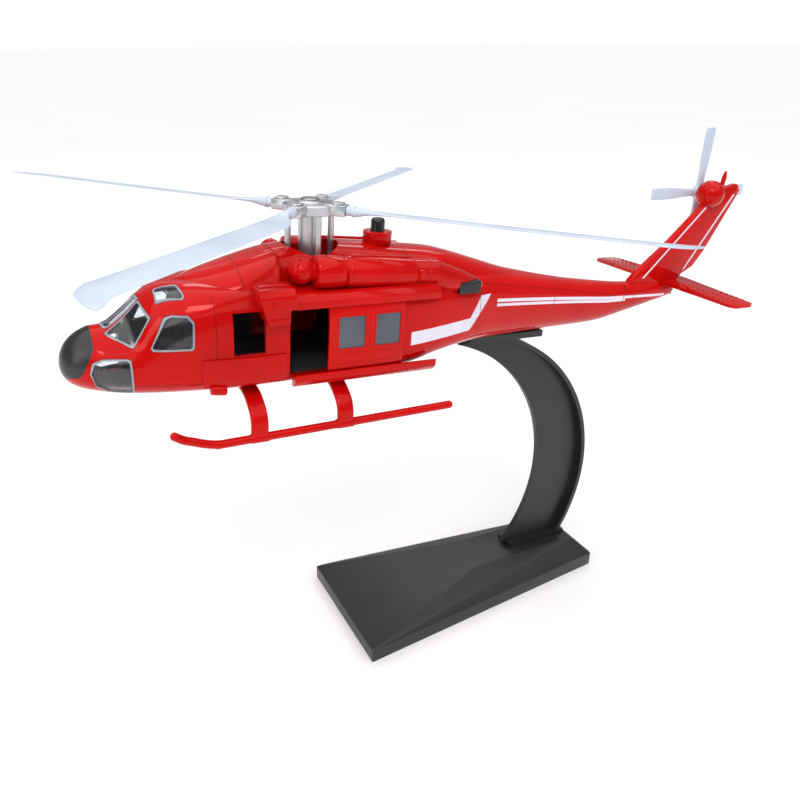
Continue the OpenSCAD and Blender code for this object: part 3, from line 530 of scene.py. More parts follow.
def hull_livery(s, y, w):
    low = (s - 118.1) * 0.0576 + 11.2
    high = (s - 118.5) * 0.0504 + 16.1
    right = (w - 12.6) * 0.789 + 142.4
    left = (w - 17.3) * 0.633 + 142.3
    flat = w.below(high) * s.above(115.6)
    band = w.above(low) * w.below(25.1) * s.below(right) * flat.most(s.above(left))
    bend = (s - 217).most(0.0)
    upper = 22.0 - (s - 156) * 0.1016 + bend * 0.045
    lower = 20.25 - (s - 156) * 0.0943 + bend * 0.06
    thin = abs(w - upper).below(0.62).most(abs(w - lower).below(0.55)) * s.above(155.8) * s.below(252.0)
    return band.most(thin)


def hull_seams(s, y, w):
    ring = line(s, 147.0, 0.16) * w.above(9) * w.below(30)
    boom = line(s - w * 0.06, 185.5, 0.16) * w.below(24)
    fold = line(s - w * 0.25, 222.6, 0.2)
    front = line(s, 46.0, 0.14) * w.above(6) * w.below(33)
    floor_line = line(w - s * 0.004, 5.2, 0.13) * s.above(21) * s.below(129)
    crease = line(w + (s - 147.3) * 0.168, 29.2, 0.16) * s.above(147) * s.below(222)
    return ring.most(boom).most(fold).most(front).most(floor_line).most(crease * 0.6)


def fairing_seams(s, y, w):
    out = line(s, 69.6, 0.16)
    for at in (56.5, 93.0, 118.4, 134.5):
        out = out.most(line(s, at, 0.15))
    long = line(abs(y), 6.8, 0.14) * s.above(93) * s.below(134)
    return out.most(long)


def fin_livery(s, y, w):
    front = abs((s - 233) * 0.7235 - (w - 19.4) * 0.6904 - 3.0).below(0.42) * w.above(21.5) * w.below(54.5)
    rear = abs((s - 268) * 0.844 - (w - 34) * 0.537).below(0.42) * w.above(24) * w.below(56)
    thin = abs(w - (s - 217) * -0.053 - 15.8).below(0.55) * s.below(252)
    return front.most(rear).most(thin)


def fin_seams(s, y, w):
    fold = line((s - 227.5) + (w - 14) * 0.1, 5.0, 0.16)
    hinge = line((s - 246) * 0.905 - (w - 22) * 0.62, 6.0, 0.15) * w.above(22) * w.below(52)
    return fold.most(hinge)


def satin_black(name, colour, rough, grain, depth, lit=0.5):
    f = Finish(name, Specular_IOR_Level=lit)
    speck = f.noise(grain, 3, 0.6)
    patchy = f.noise(45, 4)
    c = f.mix(patchy.ramp(0.35, 0.7), colour, tuple(v * 1.5 + 0.001 for v in colour))
    f.feed(Base_Color=c, Roughness=patchy.ramp(0.3, 0.7, rough - 0.05, rough + 0.06),
           Normal=f.bump(speck, 0.4, depth))
    return f.material


def cast_silver(name, colour, rough, metallic=0.9):
    f = Finish(name, Metallic=metallic)
    fine = f.noise(1400, 3)
    flow = f.noise(120, 4)
    c = f.mix(flow.ramp(0.3, 0.7), tuple(v * 0.82 for v in colour), colour)
    f.feed(Base_Color=c, Roughness=flow.ramp(0.3, 0.75, rough - 0.06, rough + 0.1),
           Normal=f.bump(fine, 0.35, 0.00006))
    return f.material


def blade_plastic(name):
    f = Finish(name, Coat_Weight=0.15, Coat_Roughness=0.2, Subsurface_Weight=0.0)
    flow = f.noise(60, 4)
    fine = f.noise(700, 3)
    c = f.mix(flow.ramp(0.3, 0.7), (0.52, 0.60, 0.73), (0.60, 0.67, 0.79))
    f.feed(Base_Color=c, Roughness=flow.ramp(0.3, 0.7, 0.3, 0.42), Normal=f.bump(fine, 0.2, 0.00006))
    return f.material


def clear(name):
    f = Finish(name, IOR=1.49, Transmission_Weight=1.0)
    smear = f.noise(90, 4)
    f.feed(Base_Color=f.mix(smear.ramp(0.3, 0.7), (0.93, 0.96, 0.98), (0.86, 0.90, 0.93)),
           Roughness=smear.ramp(0.35, 0.8, 0.01, 0.06),
           Normal=f.bump(f.noise(70, 2), 0.15, 0.0002))
    return f.material


RED = gloss_red("gloss_red_paint")
HULL_RED = gloss_red("gloss_red_with_stripes", hull_livery, hull_seams)
FAIRING_RED = gloss_red("gloss_red_fairing", None, fairing_seams)
FIN_RED = gloss_red("gloss_red_fin", fin_livery, fin_seams)
RADOME = satin_black("radome_black", (0.012, 0.012, 0.013), 0.30, 500, 0.00005)
STAND = satin_black("stand_black", (0.010, 0.011, 0.013), 0.38, 2600, 0.00010)
GLOSSY = satin_black("gloss_black", (0.006, 0.006, 0.007), 0.16, 700, 0.00003)
SEAT = satin_black("seat_grey", (0.022, 0.023, 0.026), 0.55, 1500, 0.00012)
TINT = satin_black("door_window_grey", (0.055, 0.066, 0.085), 0.14, 300, 0.00003, 0.6)
SILVER = cast_silver("cast_silver", (0.62, 0.63, 0.65), 0.30)
STEEL = cast_silver("screw_steel", (0.45, 0.45, 0.46), 0.30, 1.0)
BLADE = blade_plastic("blade_plastic")
CLEAR = clear("clear_plastic")
BORDER = satin_black("pane_border_grey", (0.24, 0.25, 0.28), 0.2, 300, 0.00003)
for node in frame["record"]["subparts"]:
    by_slot = {"red_paint": RED, "radome_black": RADOME, "stand_black": STAND, "gloss_black": GLOSSY,
               "clear_plastic": CLEAR, "seat_grey": SEAT, "silver_zinc": SILVER, "screw_steel": STEEL,
               "blade_white": BLADE}
    o = frame["nodes"][node["node"]]
    o.data.materials.clear()
    o.data.materials.append(by_slot[node["material_slot"]])


# ---------------------------------------------------------------- small repeated parts
def dot_tree():
    """Puts a small domed boss on every vertex of the mesh it is given."""
    t = bpy.data.node_groups.new("bosses_on_points", "GeometryNodeTree")
    face = t.interface
    face.new_socket("Geometry", in_out="INPUT", socket_type="NodeSocketGeometry")
    radius = face.new_socket("Boss Radius", in_out="INPUT", socket_type="NodeSocketFloat")
    height = face.new_socket("Boss Height", in_out="INPUT", socket_type="NodeSocketFloat")
    coat = face.new_socket("Boss Material", in_out="INPUT", socket_type="NodeSocketMaterial")
    face.new_socket("Geometry", in_out="OUTPUT", socket_type="NodeSocketGeometry")
    ends = t.nodes.new("NodeGroupInput"), t.nodes.new("NodeGroupOutput")
    cone = t.nodes.new("GeometryNodeMeshCone")
    cone.inputs["Vertices"].default_value = 10
    cone.inputs["Radius Top"].default_value = 0.6
    cone.inputs["Radius Bottom"].default_value = 1.0
    cone.inputs["Depth"].default_value = 1.0
    place = t.nodes.new("GeometryNodeInstanceOnPoints")
    turn = t.nodes.new("FunctionNodeAlignEulerToVector")
    turn.axis = "Z"
    aim = t.nodes.new("GeometryNodeInputNamedAttribute")
    aim.data_type = "FLOAT_VECTOR"
    aim.inputs["Name"].default_value = "aim"
    size = t.nodes.new("ShaderNodeCombineXYZ")
    real = t.nodes.new("GeometryNodeRealizeInstances")
    paint = t.nodes.new("GeometryNodeSetMaterial")
    for a, b in (
        (ends[0].outputs["Geometry"], place.inputs["Points"]),
        (cone.outputs["Mesh"], place.inputs["Instance"]),
        (aim.outputs["Attribute"], turn.inputs["Vector"]),
        (turn.outputs["Rotation"], place.inputs["Rotation"]),
        (ends[0].outputs["Boss Radius"], size.inputs["X"]),
        (ends[0].outputs["Boss Radius"], size.inputs["Y"]),
        (ends[0].outputs["Boss Height"], size.inputs["Z"]),
        (size.outputs["Vector"], place.inputs["Scale"]),
        (place.outputs["Instances"], real.inputs["Geometry"]),
        (real.outputs["Geometry"], paint.inputs["Geometry"]),
        (ends[0].outputs["Boss Material"], paint.inputs["Material"]),
        (paint.outputs["Geometry"], ends[1].inputs["Geometry"]),
    ):
        t.links.new(a, b)
    return t, radius.identifier, height.identifier, coat.identifier


DOTS, DOT_R, DOT_H, DOT_M = dot_tree()


def bosses(spots, radius, height, material, name):
    """Domed bosses at (point, outward direction) pairs, in helicopter millimetres."""
    o = scratch(name, to_mesh(name, flown([p for p, n in spots]), []))
    aims = o.data.attributes.new("aim", "FLOAT_VECTOR", "POINT")
    for spot, (p, n) in zip(aims.data, spots):
        d = AFT * n[0] + Vector((0, n[1], 0)) + UP * n[2]
        spot.vector = d.normalized()
    m = o.modifiers.new("bosses", "NODES")
    m.node_group = DOTS
    m[DOT_R], m[DOT_H], m[DOT_M] = radius * MM, height * MM, material
    return baked(o)


# ---------------------------------------------------------------- shells and glazing
def through(corners, direction, depth, r):
    d = np.array(direction, float)
    pts = []
    for p in corners:
        for t in (-1, 1):
            c = np.array(p, float) + d * depth * t
            for u in ((1, 0, 0), (-1, 0, 0), (0, 1, 0), (0, -1, 0), (0, 0, 1), (0, 0, -1),
                      (0.58, 0.58, 0.58), (-0.58, 0.58, 0.58), (0.58, -0.58, 0.58), (-0.58, -0.58, 0.58),
                      (0.58, 0.58, -0.58), (-0.58, 0.58, -0.58), (0.58, -0.58, -0.58), (-0.58, -0.58, -0.58)):
                pts.append(c + r * np.array(u))
    return hull_of(pts, "pane_cutter")


PANE_R = 0.7


def screen_cut(k=0.0):
    return through([(15.6 + k, -4.6 - k, 19.5 + k), (25.2 - k, -4.6 - k, 29.4 - k),
                    (27.2 - k, -12 + k, 26 - k), (21.4 + k / 2, -12.8 + k, 17.6 + k)],
                   (-0.587, -0.564, 0.581), 4, PANE_R)


def centre_cut(k=0.0):
    return through([(15.6 + k, -3 + k, 20.5 + k), (15.6 + k, 3 - k, 20.5 + k),
                    (25 - k, -3 + k, 30.2 - k), (25 - k, 3 - k, 30.2 - k)], (-0.72, 0, 0.69), 4, PANE_R)


def side_cut(k=0.0):
    return through([(26.9 + k, -19, 17.6 + k), (31.3 + k, -19, 26.6 - k), (33.4, -19, 27.3 - k),
                    (38 - k, -19, 27.2 - k), (39 - k, -19, 26 - k), (38.5 - k, -19, 17.8 + k)],
                   (0, 1, 0), 5, PANE_R)


def chin_cut(k=0.0):
    return through([(8.8 + k, -13, 9.2), (9.6 + k, -13, 12.4 - k), (12.4, -13, 13.4 - k),
                    (19.8 - k, -13, 13.6 - k), (20.2 - k, -13, 2.6 + k), (13.6, -13, 2.8 + k), (10.4, -13, 4.8 + k)],
                   (0, 1, 0), 11, PANE_R)


def roof_cut(k=0.0):
    return through([(30.4 + k, -5.2 - k, 34), (36.4 - k, -7.3 - k, 34), (37.4 - k, -13.8 + k, 34),
                    (30.2 + k, -10.4 + k, 34)], (0, 0, 1), 3.6, PANE_R)


def both(make, *args):
    a = make(*args)
    return [a, mirrored(a)]


def nose_block():
    return prism_y([(-20, -2.6), (5.6, 7.6), (10.2, 16.7), (9.9, 45), (-20, 45)], -30, 30)


def belly_block():
    return box_of((22.4, 129.4), (-27, 27), (-10, 5.4))


skin = loft(smoothed(HULL_ROWS[:19]), 0, "skin")
boolean(skin, loft(smoothed(HULL_ROWS[2:18]), -WALL, "room"))
nose = boolean(copied(skin), nose_block(), "INTERSECT")
belly = boolean(copied(skin), belly_block(), "INTERSECT")
boolean(skin, nose_block())
boolean(skin, belly_block())
boolean(skin, joined(both(screen_cut) + both(side_cut) + both(chin_cut)))
boolean(skin, joined([centre_cut()] + both(roof_cut)))


def opening_blocks():
    door = box_of((70.2, 96.8), (-27, -17), (5.6, 27.9))
    window = box_of((51.4, 62.0), (-27, -17), (14.2, 28.1))
    return [door, window]


openings = opening_blocks()
boolean(skin, joined(openings + [mirrored(o) for o in openings]))
finish(skin, "cabin_skin", "display_model", HULL_RED, ["cabin_shell"])
finish(nose, "radome", "display_model", RADOME, ["nose_cone"])
finish(belly, "belly_skin", "display_model", HULL_RED, ["belly_pan"])

glazing = loft(smoothed(HULL_ROWS[1:11]), 0.15, "glazing")
boolean(glazing, loft(smoothed(HULL_ROWS[1:11]), -0.95, "inside"))
CLEAR_GAP = 0.08
panes = {
    "windscreen": [centre_cut(CLEAR_GAP)] + both(screen_cut, CLEAR_GAP),
    "side_window_port": [side_cut(CLEAR_GAP)],
    "side_window_starboard": [starboard(side_cut(CLEAR_GAP))],
    "chin_window_port": [chin_cut(CLEAR_GAP)],
    "chin_window_starboard": [starboard(chin_cut(CLEAR_GAP))],
    "roof_windows": both(roof_cut, CLEAR_GAP),
}
for node, cutters in panes.items():
    pane = boolean(copied(glazing), joined(cutters), "INTERSECT", crossing=len(cutters) > 1)
    bevelled(pane, 0.14, 2, 40)
    finish(pane, node + "_pane", "display_model", CLEAR, [node])
drop(glazing)

# the moulded border of every pane, standing a little proud of it
border = loft(smoothed(HULL_ROWS[1:11]), 0.24, "border")
boolean(border, loft(smoothed(HULL_ROWS[1:11]), -0.7, "inside"))
boolean(border, joined(both(screen_cut, 0.1) + both(side_cut, 0.1) + both(chin_cut, 0.1) + both(roof_cut, 0.1)
                       + [centre_cut(0.1)]), "INTERSECT", crossing=True)
boolean(border, joined(both(screen_cut, 0.6) + both(side_cut, 0.6) + both(chin_cut, 0.6) + both(roof_cut, 0.6)
                       + [centre_cut(0.6)]), crossing=True)
finish(border, "pane_borders", "display_model", BORDER)

# painted shade: a dark grey sheet laid just inside the cabin walls, darkening the red inside of the shell
shade_sheet = loft(smoothed(HULL_ROWS[4:15]), -WALL - 0.02, "shade_sheet")
boolean(shade_sheet, loft(smoothed(HULL_ROWS[4:15]), -WALL - 0.3, "inside"))
boolean(shade_sheet, joined(both(screen_cut) + both(side_cut) + both(chin_cut) + both(roof_cut) + [centre_cut()]),
        crossing=True)
blocks = opening_blocks()
boolean(shade_sheet, joined(blocks + [mirrored(o) for o in blocks]))
finish(shade_sheet, "cabin_painted_shade", "display_model", SEAT)

# roof fairing, cut round the rotor well and the button
fairing = loft(smoothed(FAIRING_ROWS), 0, "fairing")
boolean(fairing, loft(smoothed(HULL_ROWS[:19], 4), 0.03, "seat"))


def upright(s, y, w0, w1, r, count=64):
    p, f = revolved([(r, w0), (r, w1)], lambda a, b, h: (s + a, y + b, h), count)
    return scratch("post", outward(to_mesh("post", flown(p), f)))


boolean(fairing, upright(84.7, 0, 20, 80, 9.9))
boolean(fairing, upright(110.6, 0, 20, 80, 4.0))
finish(fairing, "roof_skin", "display_model", FAIRING_RED, ["roof_fairing"])

# tail cone, fin and stabilator
cone = loft(smoothed(HULL_ROWS[18:]), 0, "cone")
FIN = [(232.5, 21), (236, 24.6), (248.8, 35), (265.3, 50.8), (267, 57), (283.2, 60.4), (285.4, 57.4), (271.6, 31.2),
       (267.2, 25.1), (261.4, 22), (257.4, 17), (258.4, 13), (240, 12), (230, 14)]
blade_of_fin = bevelled(prism_y(FIN, -1.6, 1.6, "fin"), 0.75, 3, 30)
finish(joined([cone, blade_of_fin]), "fin_skin", "display_model", FIN_RED, ["tail_fin"], 38)
finish(cad_copy("stabilator", 0.5, 3, 40), "stabilator_skin", "display_model", RED, ["stabilator"])

# ---------------------------------------------------------------- doors, rails and side panels
DOOR_ROW = np.array(HULL_ROWS[11], float)


def door_y(w, grow):
    n = DOOR_ROW[5] if w > DOOR_ROW[3] else DOOR_ROW[6]
    rise = (DOOR_ROW[4] - DOOR_ROW[3] if w > DOOR_ROW[3] else DOOR_ROW[3] - DOOR_ROW[2]) + grow
    return -(DOOR_ROW[1] + grow) * max(0.0, 1 - min(1, abs(w - DOOR_ROW[3]) / rise) ** n) ** (1 / n)


def door_plate(s0, s1, w0, w1, inner, outer, name, nw=24):
    ws = np.linspace(w0, w1, nw)
    outline = [(door_y(w, outer), w) for w in ws] + [(door_y(w, inner), w) for w in ws[::-1]]
    return prism_s(outline, s0, s1, name)


def door_set(front, mirror, name, body, node):
    """A sliding door with two framed windows, a handle and pressed ribs."""
    gap, t = 0.2, 0.9
    plate = door_plate(front, front + 28.2, 5.0, 28.7, gap, gap + t, name)
    holes, glass, rims = [], [], []
    for a, b in ((3.5, 13.2), (17.2, 26.5)):
        s0, s1, w0, w1 = front + a, front + b, 13.2, 24.4
        holes.append(door_plate(s0, s1, w0, w1, gap + t - 0.35, gap + t + 2, "hole"))
        glass.append(door_plate(s0 + 0.06, s1 - 0.06, w0 + 0.06, w1 - 0.06, gap + t - 0.42, gap + t - 0.2, "tint"))
        bars = [door_plate(s0 - 0.5, s0 + 0.1, w0 - 0.5, w1 + 0.5, gap + t - 0.1, gap + t + 0.16, "rim"),
                door_plate(s1 - 0.1, s1 + 0.5, w0 - 0.5, w1 + 0.5, gap + t - 0.1, gap + t + 0.16, "rim"),
                door_plate(s0, s1, w0 - 0.5, w0 + 0.1, gap + t - 0.1, gap + t + 0.16, "rim", 3),
                door_plate(s0, s1, w1 - 0.1, w1 + 0.5, gap + t - 0.1, gap + t + 0.16, "rim", 3)]
        rims += [bevelled(b, 0.08, 2) for b in bars]
    boolean(plate, joined(holes))
    bevelled(plate, 0.15, 2, 40)
    ribs = [door_plate(front + 1.4, front + 26.8, w, w + 0.5, gap + t - 0.1, gap + t + 0.14, "rib", 3)
            for w in (7.4, 11.0)]
    ribs.append(door_plate(front + 14.9, front + 15.5, 8.2, 28.2, gap + t - 0.1, gap + t + 0.16, "rib"))
    ribs = [bevelled(r, 0.08, 2) for r in ribs]
    handle = bevelled(door_plate(front + 1.2, front + 1.9, 15, 19, gap + t - 0.1, gap + t + 0.2, "grip", 4), 0.12, 2)
    door = joined([plate] + rims + ribs + [handle])
    panes_ = joined(glass)
    if mirror:
        door, panes_ = starboard(door), starboard(panes_)
    finish(door, name, body, HULL_RED if not mirror else RED, [node])
    finish(panes_, name + "_windows", body, TINT)


door_set(83.6, False, "port_door_skin", "port_door", "door_port")
door_set(69.6, True, "starboard_door_skin", "starboard_door", "door_starboard")


def add_both(make, name, material, node):
    a = make()
    b = mirrored(a)
    finish(a, name + "_port", "display_model", material, [node + "_port"] if node else ())
    finish(b, name + "_starboard", "display_model", material, [node + "_starboard"] if node else ())


def upper_rail():
    c = CABIN
    return bevelled(prism_s([(-c + 0.9, 28.9), (-c - 0.5, 28.9), (-c - 0.5, 28.0), (-c - 1.0, 28.0),
                             (-c - 1.0, 30.4), (-c + 0.6, 32.0), (-c + 2.2, 32.9), (-c + 2.2, 31.0)],
                            71.6, 125.4, "rail"), 0.16, 2)


def lower_rail():
    c = CABIN
    bar = prism_s([(-c + 0.9, 4.8), (-c - 1.1, 4.8), (-c - 1.1, 5.6), (-c - 1.6, 5.6), (-c - 1.6, 3.1),
                   (-c + 0.2, 1.1), (-c + 2.6, 1.0), (-c + 1.6, 2.5)], 71.6, 125.4, "rail")
    return bevelled(bar, 0.16, 2)


def side_panel():
    plate = patch((41.4, 69.0), (3.6, 13.6), -0.3, 0.9, 24, 12, "panel")
    bevelled(plate, 0.25, 3, 40)
    stub = swept([(43.6, -20.7, 3.4), (45, -20.8, 3.1), (47, -20.9, 2.8), (48.8, -20.9, 2.6)], circle_of(1.7, 20),
                 "stub")
    return joined([plate, bevelled(stub, 0.5, 3, 40)])


add_both(upper_rail, "upper_rail_bar", RED, "upper_rail")
add_both(lower_rail, "lower_rail_bar", RED, "lower_rail")
add_both(side_panel, "side_panel_plate", RED, "side_panel")


def hoist_box():
    body = hull_of([
        (s + (3.0 if s < 60 and w < 25 else 0), y, w) for s in (58.6, 71.2)
        for y, w in ((-26.4, 24.4), (-26.4, 33.8), (-24.4, 36.0), (-16, 36.0), (-16, 24.4))
    ], "hoist")
    boolean(body, box_of((69.0, 75), (-30, -10), (20, 29.2)))
    bevelled(body, 0.9, 4, 35)
    lid = bevelled(box_of((59.6, 70.1), (-21.6, -17), (35.8, 36.4)), 0.25, 3)
    lip = bevelled(box_of((61.8, 68.6), (-26.7, -25.9), (26.2, 26.9)), 0.2, 2)
    catch = bevelled(box_of((62.4, 64.0), (-26.9, -25.9), (30.4, 32.2)), 0.2, 2)
    return joined([body, lid, lip, catch])


finish(hoist_box(), "hoist_box", "display_model", RED, ["hoist_housing"], 38)

# engines: turned barrel, tapered rear fairing, bands and bolts
ENG = np.array([80.2, -15.2, 38.38])
TILT = math.radians(4.3)


def on_engine(a, b, h):
    """Across, sideways and along the engine's sloping axis."""
    return (ENG[0] + h * math.cos(TILT) + a * math.sin(TILT), ENG[1] + b,
            ENG[2] - h * math.sin(TILT) + a * math.cos(TILT))


def turned(profile, place, count=64, name="turned"):
    p, f = revolved(profile, place, count)
    return scratch(name, outward(to_mesh(name, flown(p), f)))


def engine_barrel():
    barrel = turned([(0, 0), (4.5, 0), (5.1, 0.3), (5.4, 0.9), (5.55, 4), (5.4, 9.7), (5.2, 10.1), (4.9, 10.4),
                     (4.9, 11.4), (5.2, 11.7), (5.4, 12.1), (5.4, 23.0), (5.55, 23.1), (5.55, 23.9), (5.4, 24.0),
                     (5.4, 36.2), (5.2, 36.9), (4.9, 37.2), (4.9, 42.0), (5.15, 42.2), (5.15, 43.4), (4.9, 43.6),
                     (4.9, 45.8), (0, 45.8)], on_engine)
    start = [on_engine(4.85 * math.sin(t), -4.85 * math.cos(t), 44.8) for t in np.linspace(0, 2 * math.pi, 49)[:-1]]
    rings = [np.array(start)]
    for s, y, w, r, flat in ((131, -15.2, 33.2, 4.7, 1.0), (138, -15.1, 31.3, 4.0, 0.98), (143.5, -13.9, 29.8, 3.1, 0.95),
                             (147.5, -12.9, 28.8, 2.0, 0.9), (149.2, -12.4, 28.4, 0.9, 0.9)):
        rings.append(np.array([(s, y - r * math.cos(t), w + r * flat * math.sin(t))
                               for t in np.linspace(0, 2 * math.pi, 49)[:-1]]))
    p, f = loft_points(rings)
    rear = scratch("rear", outward(to_mesh("rear", flown(p), f)))
    boolean(rear, box_of((135.2, 144.4), (-20, -13.6), (27.1, 31.9)))
    band = bevelled(box_of((117.6, 119.6), (-20.9, -17.2), (34.2, 37.6)), 0.25, 2)
    clamp = bevelled(box_of((90.9, 92.2), (-21.2, -18.4), (35.2, 38.6)), 0.25, 2)
    spine = bevelled(hull_of([on_engine(a, b, h) for a in (5.0, 5.9) for b in (-0.8, 0.8) for h in (12.8, 35.8)]), 0.2, 2)
    return joined([barrel, rear, band, clamp, spine])


def intake_ball():
    prof = [(0.0, -8.44)] + [(4.2 * math.sin(math.radians(a)), -4.24 - 4.2 * math.cos(math.radians(a)))
                             for a in range(8, 132, 6)]
    prof += [(3.1, -1.2), (3.1, -0.03), (0, -0.03)]
    ball = turned(prof, on_engine)
    rim = turned([(4.0, -4.5), (4.32, -4.5), (4.32, -4.0), (4.0, -4.0)], on_engine)
    return joined([ball, rim])


def exhaust_duct():
    duct = box_of((135.4, 144.2), (-19.0, -13.6), (27.3, 31.7))
    boolean(duct, box_of((137.0, 150), (-18.3, -14.2), (28.0, 31.0)))
    return bevelled(duct, 0.25, 3)


def engine_bolts():
    spots = []
    for h in (2.4, 8.4, 14.4, 34.4):
        for a in (20, 55, 90, 125, 160):
            t = math.radians(a)
            r = 5.42
            u = (math.sin(t) * r, -math.cos(t) * r)
            p0, p1 = np.array(on_engine(u[0], u[1], h)), np.array(on_engine(0, 0, h))
            spots.append((p0 - (p0 - p1) / r * 0.04, p0 - p1))
    return bosses(spots, 0.3, 0.22, RED, "bolts")


add_both(engine_barrel, "engine_barrel", RED, "engine")
add_both(intake_ball, "intake_ball", RED, "intake_cap")
add_both(exhaust_duct, "exhaust_duct", GLOSSY, "exhaust")
add_both(engine_bolts, "engine_bolts", RED, None)

# rows of rivets on the cabin, the boom, the side panels and the stabilator
rivets = []
for s in np.arange(23.5, 128, 2.6):
    if not 40 < s < 126:
        rivets.append(((s, -side_y(s, 7.6), 7.6), (0, -1, 0)))
for w in np.arange(16.5, 31, 1.9):
    rivets.append(((47.6, -side_y(47.6, w), w), (0, -1, 0)))
    rivets.append(((49.4, -side_y(49.4, w), w), (0, -1, 0)))
for w in np.arange(9, 29, 2.0):
    for s in (145.2, 148.8):
        rivets.append(((s, -side_y(s, w), w), (0, -1, 0.1)))
for s in np.arange(43, 68.5, 2.3):
    for w in (4.6, 12.8):
        rivets.append(((s, -side_y(s, w, 0.9) + 0.03, w), (0, -1, 0)))
for s in np.arange(151, 222, 3.1):
    rivets.append(((s, -side_y(s, 9.5), 9.5), (0, -1, -0.2)))


def cabin_rivets():
    return bosses(rivets, 0.2, 0.12, RED, "rivets")


add_both(cabin_rivets, "skin_rivets", RED, None)
stab_spots = []
for y in np.arange(6, 37, 2.6):
    for s in (251.2, 256.2, 261.4):
        for side in (-1, 1):
            stab_spots.append(((s, side * y, 20.3 - 0.5 * (y - 3) / 35 - 0.02), (0, 0, 1)))
finish(bosses(stab_spots, 0.42, 0.26, RED, "stab_bosses"), "stabilator_bosses", "display_model", RED)

# skids and struts
SKID = [(30.4, -9.2), (33.2, -10.9), (36.5, -12.1), (40.5, -13.5), (45, -14.4), (52, -14.3), (131.6, -12.5)]


def skid_tube():
    path = spline([(s, -25.2, w) for s, w in SKID], 8)
    r = 1.45
    tip, tail = path[0], path[-1]
    rings = []
    t0 = (path[1] - path[0]) / np.linalg.norm(path[1] - path[0])
    t1 = (path[-1] - path[-2]) / np.linalg.norm(path[-1] - path[-2])
    stations = [(tip - t0 * r * math.cos(a), r * math.sin(a), t0) for a in np.radians((4, 20, 40, 60, 80))]
    tangents = np.gradient(path, axis=0)
    stations += [(p, r, t / np.linalg.norm(t)) for p, t in zip(path, tangents)]
    stations += [(tail + t1 * r * math.cos(a), r * math.sin(a), t1) for a in np.radians((80, 60, 40, 20, 4))]
    for c, rad, t in stations:
        a = np.cross(t, (0, 1, 0))
        a = a / np.linalg.norm(a)
        rings.append(np.array([c + rad * (np.array((0, 1, 0)) * math.cos(q) + a * math.sin(q))
                               for q in np.linspace(0, 2 * math.pi, 33)[:-1]]))
    p, f = loft_points(rings)
    return scratch("skid", outward(to_mesh("skid", flown(p), f)))


add_both(skid_tube, "skid_tube", RED, "skid")


def strut(s, name, node):
    low = -14.4 + (s - 45) / 86.6 * 1.9 + 1.0
    route = spline([(s, 0, -0.9), (s, -8, -0.9), (s, -13.6, -1.1), (s, -17.4, -1.8), (s, -20.6, -3.4),
                    (s, -23.6, -5.6), (s, -25.2, -8.8), (s, -25.2, low)], 8)
    half = swept(route, rounded(2.2, 6.0, 0.95, 6), name, (1, 0, 0))
    shoe = turned([(0, -3.2), (1.6, -3.2), (1.75, -2.6), (1.75, 2.6), (1.6, 3.2), (0, 3.2)],
                  lambda a, b, h: (s + h, -25.2 + a, low - 1.0 + b), 32)
    other = joined([half, shoe])
    both_ = joined([other, mirrored(other)])
    finish(both_, name, "display_model", RED, [node])


strut(58.6, "front_strut_bow", "front_strut")
strut(89.6, "rear_strut_bow", "rear_strut")

# ---------------------------------------------------------------- main rotor
def at_head(x, y, z):
    return (ROTOR_S + x, y, z)


def spun(points, angle):
    c, s = math.cos(angle), math.sin(angle)
    return [(x * c - y * s, x * s + y * c, z) for x, y, z in points]


def head_block(x, y, z, angle, width=0.15, taper=0.0):
    pts = [(a, b * (1 - taper if a == x[1] else 1), c) for a in x for b in y for c in z]
    return bevelled(hull_of([at_head(*p) for p in spun(pts, angle)]), width, 2)


HUB_W = 54.7
hub_parts = []
for k in range(4):
    a = math.radians(45 + 90 * k)
    hub_parts.append(head_block((3, 13.4), (-2.6, 2.6), (HUB_W, HUB_W + 3.6), a, 0.35))
    hub_parts.append(head_block((8.6, 12.2), (-1.7, 1.7), (HUB_W + 3.5, HUB_W + 4.3), a, 0.2))
    hub_parts.append(head_block((5.4, 13.0), (-2.95, -2.5), (HUB_W + 1.0, HUB_W + 2.6), a, 0.12))
    hub_parts.append(head_block((5.4, 13.0), (2.5, 2.95), (HUB_W + 1.0, HUB_W + 2.6), a, 0.12))
centre = turned([(0, HUB_W), (9.0, HUB_W), (9.2, HUB_W + 0.2), (9.2, HUB_W + 2.9), (8.6, HUB_W + 3.4),
                 (4.9, HUB_W + 3.7), (4.6, HUB_W + 4.1), (3.9, HUB_W + 4.2), (0, HUB_W + 4.2)],
                lambda a, b, h: at_head(a, b, h))
finish(joined(hub_parts + [centre]), "hub_cross", "main_rotor", SILVER, ["rotor_hub"])
finish(turned([(0, 34.9), (2.0, 34.9), (2.0, 58.4), (3.1, 58.4), (3.2, 58.6), (3.2, 59.2), (2.9, 59.5), (0, 59.7)],
              lambda a, b, h: at_head(a, b, h)), "head_nut", "main_rotor", STEEL, ["rotor_shaft"])

# blades: airfoil ribs from the round root to the swept tip
LEAD, TRAIL, TIP = -1.8, 6.6, 123.8
RIBS = [(19.0, -1.5, 1.5, 2.9), (20.2, -1.55, 1.8, 2.6), (21.6, -1.65, 2.6, 2.3), (23.4, -1.7, 3.8, 2.0),
        (25.6, -1.75, 5.2, 1.7), (28.0, -1.8, 6.2, 1.4), (31.0, LEAD, 6.5, 1.25), (36, LEAD, TRAIL, 1.2),
        (60, LEAD, TRAIL, 1.2), (88, LEAD, TRAIL, 1.2), (TIP - 14, LEAD, TRAIL, 1.2), (TIP - 10, -2.0, TRAIL, 1.2),
        (TIP - 7, -1.2, TRAIL + 0.5, 1.15), (TIP - 4.2, 0.0, TRAIL + 1.4, 1.1), (TIP - 2.6, 1.6, TRAIL + 1.95, 1.0),
        (TIP - 1.4, 3.2, TRAIL + 2.25, 0.9), (TIP - 0.5, 5.0, TRAIL + 2.4, 0.8), (TIP, 7.0, TRAIL + 2.3, 0.6)]


